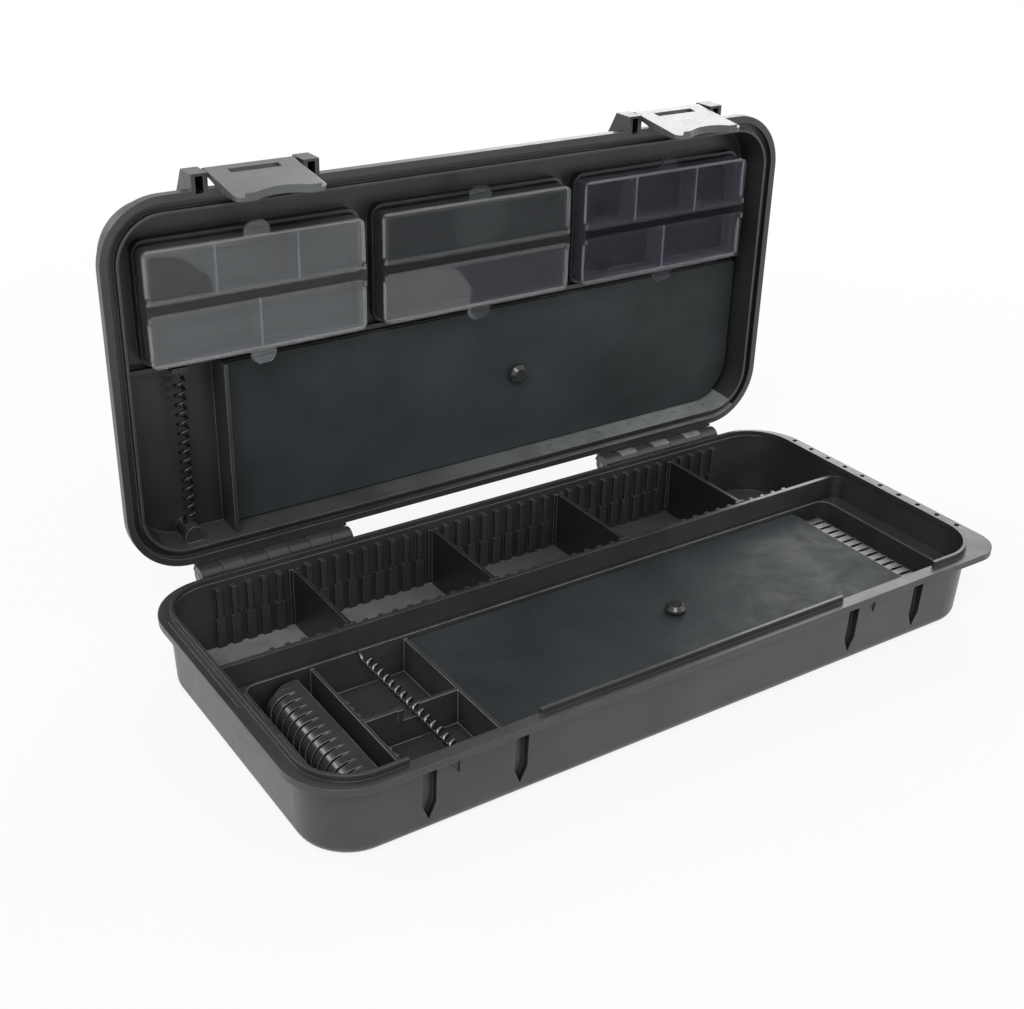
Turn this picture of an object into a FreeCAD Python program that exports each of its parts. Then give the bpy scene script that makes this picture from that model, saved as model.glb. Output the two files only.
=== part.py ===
# Fishing tackle box: a shallow base with a hinged lid that stands open.
# Origin at the centre of the base's underside, X along the hinge line, Y towards the hinges, Z up.
import FreeCAD, Part
import math
import os
import re
import Sketcher
from FreeCAD import Vector, Rotation, Placement

doc = FreeCAD.newDocument("TackleBox")
size = doc.addObject("Spreadsheet::Sheet", "Size")

# Lengths in millimetres
lengths = {
    # base moulding
    "flangeLeft": 174.5, "flangeRight": 177, "flangeFront": 81.15, "flangeTop": 34.75,
    "flangeThick": 3, "flangeRound": 27, "shelfRound": 14,
    "tubLong": 170, "tubDeep": 77.15, "tubWall": 1.9, "tubRound": 23, "tubFloor": 3,
    "footRound": 5, "overRun": 1,
    "lipLong": 169.3, "lipDeep": 77, "lipThick": 1.5, "lipHigh": 2.6, "lipGap": 28.2,
    "midFront": 16.8, "midThick": 2.2, "midTop": 32.3, "midCorner": 4,
    "ribPitch": 7.1, "ribTop": 31.8, "ribStep": 17.5, "ribNarrow": 2.2, "ribWide": 4, "ribOut": 2.2,
    "holeRadius": 1.2, "holePitch": 12.15, "holeAcross": 174.7,
    "lineInset": 2.4, "lineWide": 0.7, "lineDeep": 0.5, "lineFront": 14, "lineBack": 56,
    # latch pockets in the front wall
    "latchAcross": 106.3, "pocketAcross": 20, "pocketWide": 6, "pocketTop": 30, "pocketShoulder": 13,
    "pocketTip": 6, "pocketFloor": 73.7, "pocketSkin": 1.5, "notchAcross": 10, "notchWide": 5.4,
    "notchTop": 29, "notchTip": 22.5, "notchDeep": 1,
    # hinges
    "hingeAcross": 108.7, "hingeBack": 86.8, "hingeHigh": 32.4, "knuckleRadius": 4.7,
    "knucklePitch": 10.5, "knuckleGap": 0.4, "hingePinRadius": 1.5, "runningGap": 0.05, "webThick": 3,
    # front tray
    "trayRim": 21.5, "trayLedge": 1.5, "trayLong": 158, "trayFront": 70.3, "trayBack": 14.1,
    "trayWall": 1.5, "trayFloor": 1.5, "trayRound": 12.5, "trayBackRound": 5, "trayShelf": 167.4,
    "trayShelfRound": 18, "beadWide": 1.2, "beadHigh": 0.6, "trayFoot": 2.5,
    "cellLeft": 127, "cellRight": 85, "cellWall": 1.5, "cellTop": 20.5, "cellCross": 28.5,
    "cellLow": 15, "cellGapLeft": 110.7, "cellGapRight": 102.9, "curlRadius": 1.3,
    "nubPitch": 4.9, "nubWide": 1.8, "nubLong": 3, "nubHigh": 17, "nubBack": 9, "nubFront": 44,
    "humpInner": 136, "humpOuter": 151.5, "humpTop": 20.2, "humpRound": 8,
    "humpFront": 66, "humpBack": 11, "slotDeep": 4, "finPitch": 5.05, "finThick": 3.9, "finFront": 62,
    "combInner": 137, "combOuter": 148.5, "combTop": 19.2, "combRound": 3, "combSlot": 7.5,
    "combPitch": 5.15, "combThick": 3.6, "combFront": 60,
    "seatHigh": 18.4, "seatThick": 2, "seatWide": 2.2,
    # cover plates and knobs
    "plateThick": 1.5, "plateGap": 0.1, "plateMargin": 0.3, "plateRound": 1.5,
    "knobAcross": 27.5, "knobFront": 28, "knobRadius": 4.75, "knobHigh": 4.2, "knobNeck": 2.2,
    "knobNeckHigh": 1.2, "knobCrown": 1.6, "lidKnobHigh": 87.5,
    # dividers
    "dividerThick": 1.6, "dividerTop": 32, "dividerGap": 0.3, "teeWide": 5, "teeThick": 1.3,
    "teeInset": 1.2, "dividerFoot": 2,
    # lid moulding, measured in the closed place
    "lidGap": 0.25, "lidLong": 173, "lidFront": 80.5, "lidBack": 81.1, "lidRound": 27,
    "rimThick": 4, "lidInset": 4, "lidTop": 53, "lidPanel": 2.2, "lidEdgeRound": 3,
    "ringWide": 3.1, "grooveWide": 3.5, "grooveDeep": 3, "ridgeWide": 1,
    "boxRibFront": 6.8, "boxRibThick": 2, "boxRibHigh": 4,
    "bayLeft": 124, "bayWall": 1.6, "bayWallHigh": 13.7, "bayWallBack": 71.5,
    "stripWide": 1.2, "stripThick": 3, "stripFront": 5.2, "stripBack": 64,
    "lidPlateLeft": 121, "lidPlateRight": 162, "lidPlateFront": 3.1, "lidPlateBack": 71.9,
    "lidPlateRise": 3.1, "lidPlateRound": 20, "lidSeatWide": 3,
    "frameHigh": 5, "frameThick": 1.4, "frameMargin": 0.6, "frameRound": 4,
    # latches
    "earInner": 20.5, "earOuter": 27.5, "earFront": 87, "earShoulder": 45, "earTop": 52.6,
    "earBack": 74, "earWall": 1.8, "earHollowBack": 79, "earHollowTop": 44.5, "earHollowSkin": 1.1,
    "latchPinOut": 84.8, "latchPinHigh": 42.6, "latchPinRadius": 1, "latchPinHalf": 24,
    "flapHalf": 19.25, "flapLong": 32.2, "flapThick": 1.9, "flapOffset": 0.3, "barrelRadius": 2,
    "flapSlotHalf": 11, "flapSlotTop": 4, "flapSlotLow": 8, "skirtThick": 1.4, "skirtDeep": 1.9,
    "skirtTipDeep": 0.4, "skirtTop": 3, "skirtNeck": 0.8, "skirtStep": 11.2, "skirtLow": 12.3,
    "hookHalf": 15, "hookTop": 12, "hookLow": 14, "hookDeep": 1.6,
    "fingerHalf": 16, "fingerRise": 10.5, "fingerOut": 1.6, "fingerRound": 20, "flapRound": 3,
    "archHalf": 12.5, "archRise": 5.6, "archRound": 24,
    # small boxes
    "boxPitch": 106.5, "boxLong": 97.5, "boxFront": 58.7, "boxBack": 9.6, "boxSeat": 0.2,
    "boxFace": 36.7, "boxWall": 1.3, "boxFloor": 1.2, "boxRound": 3,
    "boxLidThick": 1.2, "boxLidSink": 0.2, "boxLidGap": 0.25, "stripHalf": 1.8,
    "boxBarrel": 0.9, "boxPinRadius": 0.5, "boxPinLong": 0.9, "lugLong": 2.4, "barrelGap": 0.2,
    "lidTurnGap": 0.6,
    "tabHalf": 5.5, "tabOut": 6, "tabRound": 4, "borderWide": 1.6, "borderHigh": 0.5,
    "upperCell": 30.4, "upperCellTwo": 67, "wallThin": 1.1,
    # springs
    "baseCoilRadius": 1.65, "baseWire": 1.5, "basePitch": 4.55, "baseCoilAcross": 105.4,
    "baseCoilHigh": 20, "lidCoilRadius": 2, "lidWire": 1.5, "lidPitch": 4.2, "lidCoilAcross": 142.5,
    "lidCoilHigh": 43.6, "postRadius": 4.5, "postBack": 70.5, "postFaceHigh": 39.5,
    "anchorThick": 2, "anchorHalf": 3.2, "anchorHigh": 41.2, "coilEndGap": 0.05,
}
angles = {"outerDraftAngle": 2.2, "innerDraftAngle": 1.7, "lidDraftAngle": 5, "openAngle": 90,
          "latchLeanAngle": 8}
counts = {"ribEndCount": 5, "ribBayCount": 9, "ribLastCount": 4, "holeCount": 10, "knuckleCount": 7,
          "finCount": 13, "combCount": 12, "nubBackCount": 4, "nubFrontCount": 3, "wireSides": 6}
shares = {"coilStepShare": 0.5, "wireBendShare": 1.2}


def fill_sheet(*groups):
    row = 0
    for group in groups:
        for alias, number in group.items():
            row += 1
            size.set(f"A{row}", alias)
            size.set(f"B{row}", str(number))
            size.setAlias(f"B{row}", alias)
    doc.recompute()


fill_sheet(lengths, angles, counts, shares)


def bound(formula):
    # a formula in the sheet's names, with the sheet named in front of each
    return re.sub(r"\b([a-z]+[A-Z][A-Za-z]*)\b", r"Size.\1", str(formula))


def value(formula):
    return float(size.evalExpression(bound(formula)))


def origin_feature(body, role):
    return next(item for item in body.Origin.OriginFeatures if item.Role == role)


def add_outline(sketch, corners):
    # closed outline through corners (x, y) or (x, y, radius), each bound to the sheet
    places = [Vector(value(c[0]), value(c[1]), 0) for c in corners]
    rounds = [value(c[2]) if len(c) > 2 else 0 for c in corners]
    total = len(corners)
    enters, leaves, arcs = [], [], []
    for i, place in enumerate(places):
        back = (places[i - 1] - place).normalize()
        ahead = (places[(i + 1) % total] - place).normalize()
        turn = math.pi - back.getAngle(ahead)
        reach = rounds[i] * math.tan(turn / 2)
        enters.append(place + back * reach)
        leaves.append(place + ahead * reach)
        if rounds[i]:
            centre = place + (back + ahead).normalize() * (rounds[i] / math.cos(turn / 2))
            left_turn = back.cross(ahead).z < 0
            first, last = (enters[i], leaves[i]) if left_turn else (leaves[i], enters[i])
            start = math.atan2(first.y - centre.y, first.x - centre.x)
            end = math.atan2(last.y - centre.y, last.x - centre.x)
            circle = Part.Circle(centre, Vector(0, 0, 1), rounds[i])
            arcs.append((Part.ArcOfCircle(circle, start, end), left_turn))
        else:
            arcs.append(None)
    lines = [sketch.addGeometry(Part.LineSegment(leaves[i], enters[(i + 1) % total]), False)
             for i in range(total)]
    for i, corner in enumerate(corners):
        before, after = lines[i - 1], lines[i]
        if arcs[i] is None:
            sketch.addConstraint(Sketcher.Constraint("Coincident", before, 2, after, 1))
            holder = (after, 1)
        else:
            arc, left_turn = arcs[i]
            arc_id = sketch.addGeometry(arc, False)
            point_id = sketch.addGeometry(Part.Point(places[i]), True)
            first_end, last_end = (1, 2) if left_turn else (2, 1)
            sketch.addConstraint(Sketcher.Constraint("Tangent", before, 2, arc_id, first_end))
            sketch.addConstraint(Sketcher.Constraint("Tangent", arc_id, last_end, after, 1))
            sketch.addConstraint(Sketcher.Constraint("PointOnObject", point_id, 1, before))
            sketch.addConstraint(Sketcher.Constraint("PointOnObject", point_id, 1, after))
            tie(sketch, Sketcher.Constraint("Radius", arc_id, rounds[i]), corner[2])
            holder = (point_id, 1)
        tie(sketch, Sketcher.Constraint("DistanceX", -1, 1, *holder, places[i].x), corner[0])
        tie(sketch, Sketcher.Constraint("DistanceY", -1, 1, *holder, places[i].y), corner[1])


def add_circle(sketch, across, along, radius):
    centre = Vector(value(across), value(along), 0)
    circle = sketch.addGeometry(Part.Circle(centre, Vector(0, 0, 1), value(radius)), False)
    tie(sketch, Sketcher.Constraint("DistanceX", -1, 1, circle, 3, centre.x), across)
    tie(sketch, Sketcher.Constraint("DistanceY", -1, 1, circle, 3, centre.y), along)
    tie(sketch, Sketcher.Constraint("Radius", circle, value(radius)), radius)


def tie(sketch, constraint, formula):
    index = sketch.addConstraint(constraint)
    sketch.setExpression(f"Constraints[{index}]", bound(formula))


def new_sketch(body, name, role, start, loops):
    # each loop is a list of corners, or a circle given as (x, y, radius)
    sketch = body.newObject("Sketcher::SketchObject", name + "Sketch")
    sketch.AttachmentSupport = [(origin_feature(body, role), "")]
    sketch.MapMode = "FlatFace"
    sign = "-" if role == "XZ_Plane" else ""
    sketch.setExpression("AttachmentOffset.Base.z", bound(f"{sign}({start})"))
    for loop in loops:
        if isinstance(loop, tuple):
            add_circle(sketch, *loop)
        else:
            add_outline(sketch, loop)
    return sketch


def pad(body, name, role, loops, low, high, draft=None, downward=False):
    start = high if role == "XZ_Plane" or downward else low
    feature = body.newObject("PartDesign::Pad", name)
    feature.Refine = False
    feature.Profile = new_sketch(body, name, role, start, loops)
    feature.Reversed = downward
    feature.setExpression("Length", bound(f"{high} - ({low})"))
    if draft:
        feature.setExpression("TaperAngle", bound(draft))
    return feature


def pocket(body, name, role, loops, low, high, draft=None, upward=False):
    start = low if role == "XZ_Plane" or upward else high
    feature = body.newObject("PartDesign::Pocket", name)
    feature.Refine = False
    feature.Profile = new_sketch(body, name, role, start, loops)
    feature.Reversed = upward
    feature.setExpression("Length", bound(f"{high} - ({low})"))
    if draft:
        feature.setExpression("TaperAngle", bound(draft))
    return feature


def repeat(body, name, role, originals, pitch, count):
    pattern = body.newObject("PartDesign::LinearPattern", name)
    pattern.Refine = False
    pattern.Originals = originals
    pattern.Direction = (origin_feature(body, role), [""])
    pattern.setExpression("Length", bound(f"{pitch} * ({count} - 1)"))
    pattern.setExpression("Occurrences", bound(count))
    body.Tip = pattern
    return pattern


def round_edges(body, name, base, chosen, radius):
    # rounds the edges of the last feature that the test picks
    doc.recompute()
    edges = [f"Edge{i + 1}" for i, edge in enumerate(base.Shape.Edges) if chosen(edge.BoundBox)]
    fillet = body.newObject("PartDesign::Fillet", name)
    fillet.Base = (base, edges)
    fillet.setExpression("Radius", bound(radius))
    return fillet


def box_loop(left, right, front, back, rounds=None):
    # counter-clockwise rectangle, with the corner rounds front-left, front-right, back-right, back-left
    corners = [(left, front), (right, front), (right, back), (left, back)]
    if rounds is None:
        return corners
    if isinstance(rounds, str):
        rounds = [rounds] * len(corners)
    return [corner + (r,) if r else corner for corner, r in zip(corners, rounds)]


def new_body(label):
    body = doc.addObject("PartDesign::Body", label)
    body.Label = label
    return body


def open_with_lid(part):
    # from the closed place to the place it has with the lid open, turned about the hinge line
    part.setExpression("Placement.Base.y", bound("hingeBack - hingeHigh"))
    part.setExpression("Placement.Base.z", bound("hingeBack + hingeHigh"))
    part.Placement = Placement(Vector(), Rotation(Vector(1, 0, 0), -value("openAngle")))


# Base shell: drafted tub under a wide flange, with a mid wall and a lip that keys into the lid
def make_base_shell():
    body = new_body("base_shell")
    under = "flangeTop - flangeThick"
    tub = pad(body, "Tub", "XY_Plane", [box_loop("-tubLong", "tubLong", "-tubDeep", "tubDeep", "tubRound")],
              "0", under, "-outerDraftAngle", downward=True)
    foot_height = value("footRound")
    round_edges(body, "Foot", tub, lambda b: b.ZMax < foot_height / 2, "footRound")
    pad(body, "Flange", "XY_Plane",
        [box_loop("-flangeLeft", "flangeRight", "-flangeFront", "flangeFront",
                  ["flangeRound", "shelfRound", "flangeRound", "flangeRound"])], under, "flangeTop")
    inside = "tubRound - tubWall"
    long, deep = "tubLong - tubWall", "tubDeep - tubWall"
    pocket(body, "Mouth", "XY_Plane", [box_loop(f"-({long})", long, f"-({deep})", deep, inside)],
           "midTop", "flangeTop")
    pocket(body, "Rear", "XY_Plane",
           [box_loop(f"-({long})", long, "midFront + midThick", deep,
                     ["midCorner", "midCorner", inside, inside])], "tubFloor", "midTop", "-innerDraftAngle")
    pocket(body, "Front", "XY_Plane",
           [box_loop(f"-({long})", long, f"-({deep})", "midFront",
                     [inside, inside, "midCorner", "midCorner"])], "tubFloor", "midTop", "-innerDraftAngle")
    lip_round = "tubRound - tubLong + lipLong"
    inner_round = f"{lip_round} - lipThick"
    pad(body, "Lip", "XY_Plane",
        [box_loop("-lipLong", "lipLong", "-lipDeep", "lipDeep", lip_round),
         box_loop("lipThick - lipLong", "lipLong - lipThick", "lipThick - lipDeep", "lipDeep - lipThick",
                  inner_round)], "flangeTop", "flangeTop + lipHigh")
    for side, sign in (("Left", "-"), ("Right", "")):
        centre = f"{sign}latchAcross"
        pocket(body, "LipGap" + side, "XY_Plane",
               [box_loop(f"{centre} - lipGap", f"{centre} + lipGap", "-lipDeep - overRun",
                         "lipThick + overRun - lipDeep")], "flangeTop", "flangeTop + lipHigh + overRun")
        make_latch_pockets(body, side, centre)
    hole = pocket(body, "HookHole", "XY_Plane",
                  [("holeAcross", "-holePitch * (holeCount - 1) / 2", "holeRadius")], under, "flangeTop")
    repeat(body, "HookHoles", "Y_Axis", [hole], "holePitch", "holeCount")
    pocket(body, "FlangeLine", "XY_Plane",
           [box_loop("lineInset - flangeLeft", "lineInset + lineWide - flangeLeft", "-lineFront",
                     "lineBack")],
           "flangeTop - lineDeep", "flangeTop")
    for side, sign in (("Left", "-"), ("Right", "")):
        make_knuckles(body, "Base" + side, f"{sign}hingeAcross", 0, "hingeHigh - knuckleRadius",
                      "flangeTop - webThick / 2")
    make_rib_rows(body)
    return body


def make_latch_pockets(body, side, centre):
    # two pointed pockets under the flange take the flap's skirts, with a boss behind each
    for end, way in (("Inner", "-"), ("Outer", "+")):
        middle = f"({centre} {way} pocketAcross)"
        half = "pocketWide / 2"
        boss = [(f"{middle} - {half} - pocketSkin", "pocketShoulder - pocketSkin"),
                (middle, "pocketTip - pocketSkin"),
                (f"{middle} + {half} + pocketSkin", "pocketShoulder - pocketSkin"),
                (f"{middle} + {half} + pocketSkin", "pocketTop + pocketSkin"),
                (f"{middle} - {half} - pocketSkin", "pocketTop + pocketSkin")]
        pad(body, f"Boss{side}{end}", "XZ_Plane", [boss], "-(tubDeep - tubWall + pocketSkin / 4)",
            "-(pocketFloor - pocketSkin)")
        hollow = [(f"{middle} - {half}", "pocketShoulder"), (middle, "pocketTip"),
                  (f"{middle} + {half}", "pocketShoulder"), (f"{middle} + {half}", "pocketTop"),
                  (f"{middle} - {half}", "pocketTop")]
        pocket(body, f"Pocket{side}{end}", "XZ_Plane", [hollow], "-(tubDeep + overRun)", "-pocketFloor")
    tip = f"({centre} - notchAcross)"
    notch = [(f"{tip} - notchWide / 2", "notchTop"), (f"{tip} + notchWide / 2", "notchTip"),
             (f"{tip} + notchWide / 2", "notchTop")]
    pocket(body, "Notch" + side, "XZ_Plane", [notch], "-(tubDeep + overRun)", "-(tubDeep - notchDeep)")


def make_rib_rows(body):
    # stepped ribs on both long walls of the rear bay, missing where a divider stands
    bays = (("One", -20, "ribEndCount"), ("Two", -14, "ribBayCount"), ("Three", -4, "ribBayCount"),
            ("Four", 6, "ribBayCount"), ("Five", 16, "ribLastCount"))
    back = "tubDeep - tubWall"
    mid = "midFront + midThick"
    rows = (("Back", f"{back} - ribOut", f"{back} + ribOut / 10"),
            ("Mid", f"{mid} - midThick / 4", f"{mid} + ribOut"))
    for row, low, high in rows:
        for bay, first, count in bays:
            middle = f"{first} * ribPitch"
            rib = pad(body, f"Rib{row}{bay}", "XZ_Plane",
                      [[(f"{middle} - ribWide / 2", "tubFloor"), (f"{middle} + ribWide / 2", "tubFloor"),
                        (f"{middle} + ribWide / 2", "ribStep"), (f"{middle} + ribNarrow / 2", "ribStep"),
                        (f"{middle} + ribNarrow / 2", "ribTop"), (f"{middle} - ribNarrow / 2", "ribTop"),
                        (f"{middle} - ribNarrow / 2", "ribStep"),
                        (f"{middle} - ribWide / 2", "ribStep")]], low, high)
            repeat(body, f"Ribs{row}{bay}", "X_Axis", [rib], "ribPitch", count)


def make_knuckles(body, name, centre, parity, web_low, web_high):
    # every second knuckle of a seven-knuckle hinge, each with a web to the moulding
    first = f"{centre} + ({parity} - knuckleCount / 2) * knucklePitch"
    start, end = f"{first} + knuckleGap / 2", f"{first} + knucklePitch - knuckleGap / 2"
    count = f"(knuckleCount + 1) / 2 - {parity}"
    barrel = pad(body, name + "Knuckle", "YZ_Plane", [("hingeBack", "hingeHigh", "knuckleRadius")],
                 start, end)
    web = pad(body, name + "Web", "YZ_Plane",
              [box_loop("lidBack - overRun", "hingeBack", web_low, web_high)], start, end)
    repeat(body, name + "Knuckles", "X_Axis", [barrel, web], "2 * knucklePitch", count)
    pocket(body, name + "Bore", "YZ_Plane", [("hingeBack", "hingeHigh", "hingePinRadius + runningGap")],
           f"{centre} - (knuckleCount / 2) * knucklePitch", f"{centre} + (knuckleCount / 2) * knucklePitch")


# Front tray: rounded well with combs, cells and seats for the cover plate, set in the front bay
def make_front_tray():
    body = new_body("front_tray")
    rounds = ["trayRound + trayWall", "trayRound + trayWall", "trayBackRound + trayWall",
              "trayBackRound + trayWall"]
    well = pad(body, "Well", "XY_Plane",
               [box_loop("-trayLong - trayWall", "trayLong + trayWall", "-trayFront - trayWall",
                         "trayBack + trayWall", rounds)], "tubFloor", "trayRim")
    foot = value("tubFloor") + value("trayFoot") / 4
    round_edges(body, "TrayFoot", well, lambda b: b.ZMax < foot, "trayFoot")
    pad(body, "Shelf", "XY_Plane",
        [box_loop("-trayShelf", "trayShelf", "-trayFront - trayWall", "trayBack + trayWall",
                  ["trayShelfRound", "trayShelfRound", "midCorner", "midCorner"])],
        "trayRim - trayLedge", "trayRim")
    inner = ["trayRound", "trayRound", "trayBackRound", "trayBackRound"]
    well_loop = box_loop("-trayLong", "trayLong", "-trayFront", "trayBack", inner)
    bead = box_loop("-trayLong - beadWide", "trayLong + beadWide", "-trayFront - beadWide",
                    "trayBack + beadWide", [f"{r} + beadWide" for r in inner])
    pad(body, "Bead", "XY_Plane", [bead, well_loop], "trayRim", "trayRim + beadHigh")
    floor = "tubFloor + trayFloor"
    pocket(body, "WellHollow", "XY_Plane", [well_loop], floor, "trayRim")
    make_cells(body, floor)
    make_combs(body, floor)
    pad(body, "Seat", "XY_Plane",
        [box_loop("-cellRight + cellWall / 2", "combInner + overRun", "-trayFront - trayWall / 2",
                  "trayBack + trayWall / 2"),
         box_loop("-cellRight + cellWall + seatWide", "combInner - seatWide", "-trayFront + seatWide",
                  "trayBack - seatWide")], "seatHigh - seatThick", "seatHigh")
    return body


def make_cells(body, floor):
    front, back = "-trayFront - trayWall / 2", "trayBack + trayWall / 2"
    pad(body, "CellLeft", "XY_Plane", [box_loop("-cellLeft - cellWall", "-cellLeft", front, back)],
        floor, "cellTop")
    pad(body, "CellRight", "XY_Plane", [box_loop("-cellRight", "cellWall - cellRight", front, back)],
        floor, "cellTop")
    low, high = "-cellCross - cellWall / 2", "-cellCross + cellWall / 2"
    cross = [("-cellLeft - cellWall / 2", floor), ("-cellRight + cellWall / 2", floor),
             ("-cellRight + cellWall / 2", "cellTop"), ("-cellGapRight", "cellTop"),
             ("-cellGapRight", "cellLow"), ("-cellGapLeft", "cellLow"), ("-cellGapLeft", "cellTop"),
             ("-cellLeft - cellWall / 2", "cellTop")]
    pad(body, "CellCross", "XZ_Plane", [cross], low, high)
    pad(body, "Curl", "XY_Plane", [("-cellGapLeft - curlRadius / 2", "-cellCross", "curlRadius")],
        "cellLow", "cellTop")
    for name, start, count in (("Back", "nubBack", "nubBackCount"), ("Front", "nubFront", "nubFrontCount")):
        first = f"-{start} - nubPitch * ({count} - 1)"
        nub = pad(body, "Nub" + name, "XY_Plane",
                  [box_loop("-cellLeft - cellWall / 2", "-cellLeft + nubLong", f"{first} - nubWide / 2",
                            f"{first} + nubWide / 2")], "nubHigh - nubWide / 2", "nubHigh")
        repeat(body, f"Nubs{name}", "Y_Axis", [nub], "nubPitch", count)


def make_combs(body, floor):
    # rounded humps: a core with fins round it, so the gaps between fins hold line and hooks
    def hump(inner, outer, top, radius):
        return [(inner, floor), (outer, floor), (outer, top, radius), (inner, top)]

    pad(body, "HumpCore", "XZ_Plane",
        [hump("-humpInner", "-humpOuter + slotDeep", "humpTop", "humpRound")], "-humpFront", "humpBack")
    fin = pad(body, "HumpFin", "XZ_Plane", [hump("-humpInner", "-humpOuter", "humpTop", "humpRound")],
              "-finFront", "-finFront + finThick")
    repeat(body, "HumpFins", "Y_Axis", [fin], "finPitch", "finCount + 1")
    pad(body, "CombCore", "XZ_Plane",
        [hump("combInner", "combOuter - combSlot", "combTop", "combRound")], "-humpFront", "humpBack")
    tooth = pad(body, "CombTooth", "XZ_Plane",
                [hump("combInner", "combOuter", "combTop", "combRound")],
                "-combFront", "-combFront + combThick")
    repeat(body, "CombTeeth", "Y_Axis", [tooth], "combPitch", "combCount + 1")


# Dividers that drop between the ribs of the rear bay
def make_divider(number, index):
    body = new_body(f"divider_{number}")
    front = "midFront + midThick + teeInset"
    back = "tubDeep - tubWall - teeInset"
    low = "tubFloor + dividerGap"
    web = [(f"{front} + dividerFoot", low), (f"{back} - dividerFoot", low),
           (back, f"{low} + dividerFoot"), (back, "dividerTop"), (front, "dividerTop"),
           (front, f"{low} + dividerFoot")]
    pad(body, "Web", "YZ_Plane", [web], f"{index} * ribPitch - dividerThick / 2",
        f"{index} * ribPitch + dividerThick / 2")
    for name, near, far in (("Front", front, f"{front} + teeThick"), ("Back", f"{back} - teeThick", back)):
        pad(body, "Tee" + name, "XY_Plane",
            [box_loop(f"{index} * ribPitch - teeWide / 2", f"{index} * ribPitch + teeWide / 2", near, far)],
            f"{low} + dividerFoot", "dividerTop")
    return body


# Cover plate of the front tray
def make_base_plate():
    body = new_body("base_cover_plate")
    left, right = "-cellRight + cellWall + plateMargin", "combInner - plateMargin"
    pad(body, "Plate", "XY_Plane",
        [box_loop(left, right, "-trayFront + plateMargin", "trayBack - plateMargin", "plateRound")],
        "seatHigh + plateGap", "seatHigh + plateGap + plateThick")
    return body


def make_knob(label):
    # turned knob: a neck under a low dome, standing on its own origin
    body = new_body(label)
    crown = "knobHigh - knobCrown"
    outline = [("0", "0"), ("knobNeck", "0"), ("knobNeck", "knobNeckHigh"), ("knobRadius", "knobNeckHigh"),
               ("knobRadius", crown), ("knobRadius - knobCrown", "knobHigh"), ("0", "knobHigh")]
    sketch = new_sketch(body, "Knob", "XZ_Plane", "0", [outline])
    revolve = body.newObject("PartDesign::Revolution", "Turned")
    revolve.Profile = sketch
    revolve.ReferenceAxis = (sketch, ["V_Axis"])
    return body


# Lid shell in the closed place: rim with a keying groove, drafted walls, panel, ribs and latch ears
def make_lid_shell():
    body = new_body("lid_shell")
    rim = "flangeTop + lidGap"

    def loop(inset):
        return box_loop(f"-lidLong + {inset}", f"lidLong - ({inset})", f"-lidFront + {inset}",
                        f"lidBack - ({inset})", f"lidRound - ({inset})")

    top = pad(body, "Walls", "XY_Plane", [loop("lidInset")], f"{rim} + rimThick", "lidTop",
              "-outerDraftAngle")
    edge = value("lidTop") - value("lidEdgeRound") / 4
    round_edges(body, "TopRound", top, lambda b: b.ZMin > edge, "lidEdgeRound")
    pad(body, "Rim", "XY_Plane", [loop("0")], rim, f"{rim} + rimThick")
    for side, sign in (("Left", "-"), ("Right", "")):
        make_ears(body, side, f"{sign}latchAcross", rim)
    pocket(body, "Inside", "XY_Plane", [loop("ringWide + grooveWide + ridgeWide")], rim,
           "lidTop - lidPanel", "-lidDraftAngle", upward=True)
    pocket(body, "Groove", "XY_Plane", [loop("ringWide"), loop("ringWide + grooveWide")], rim,
           f"{rim} + grooveDeep", upward=True)
    for side, sign in (("Left", "-"), ("Right", "")):
        make_knuckles(body, "Lid" + side, f"{sign}hingeAcross", 1, rim, "hingeHigh + knuckleRadius")
    make_lid_bays(body)
    return body


def make_ears(body, side, centre, rim):
    # a hollow ear at each end of the latch, with the pin through its inner wall
    for end, way in (("Inner", "-"), ("Outer", "+")):
        near, far = f"{centre} {way} earInner", f"{centre} {way} earOuter"
        low, high = (far, near) if way == "-" else (near, far)
        pad(body, f"Ear{side}{end}", "YZ_Plane",
            [[("-earFront", rim), ("-earBack", rim), ("-earBack", "earTop"),
              ("-earFront", "earShoulder")]], low, high)
        pocket(body, f"EarHollow{side}{end}", "YZ_Plane",
               [box_loop("-earFront + earHollowSkin", "-earHollowBack", f"{rim} - overRun",
                         "earHollowTop")], f"{low} + earWall", f"{high} - earWall")
    pocket(body, "LatchBore" + side, "YZ_Plane",
           [("-latchPinOut", "latchPinHigh", "latchPinRadius + runningGap")],
           f"{centre} - latchPinHalf", f"{centre} + latchPinHalf")


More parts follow.
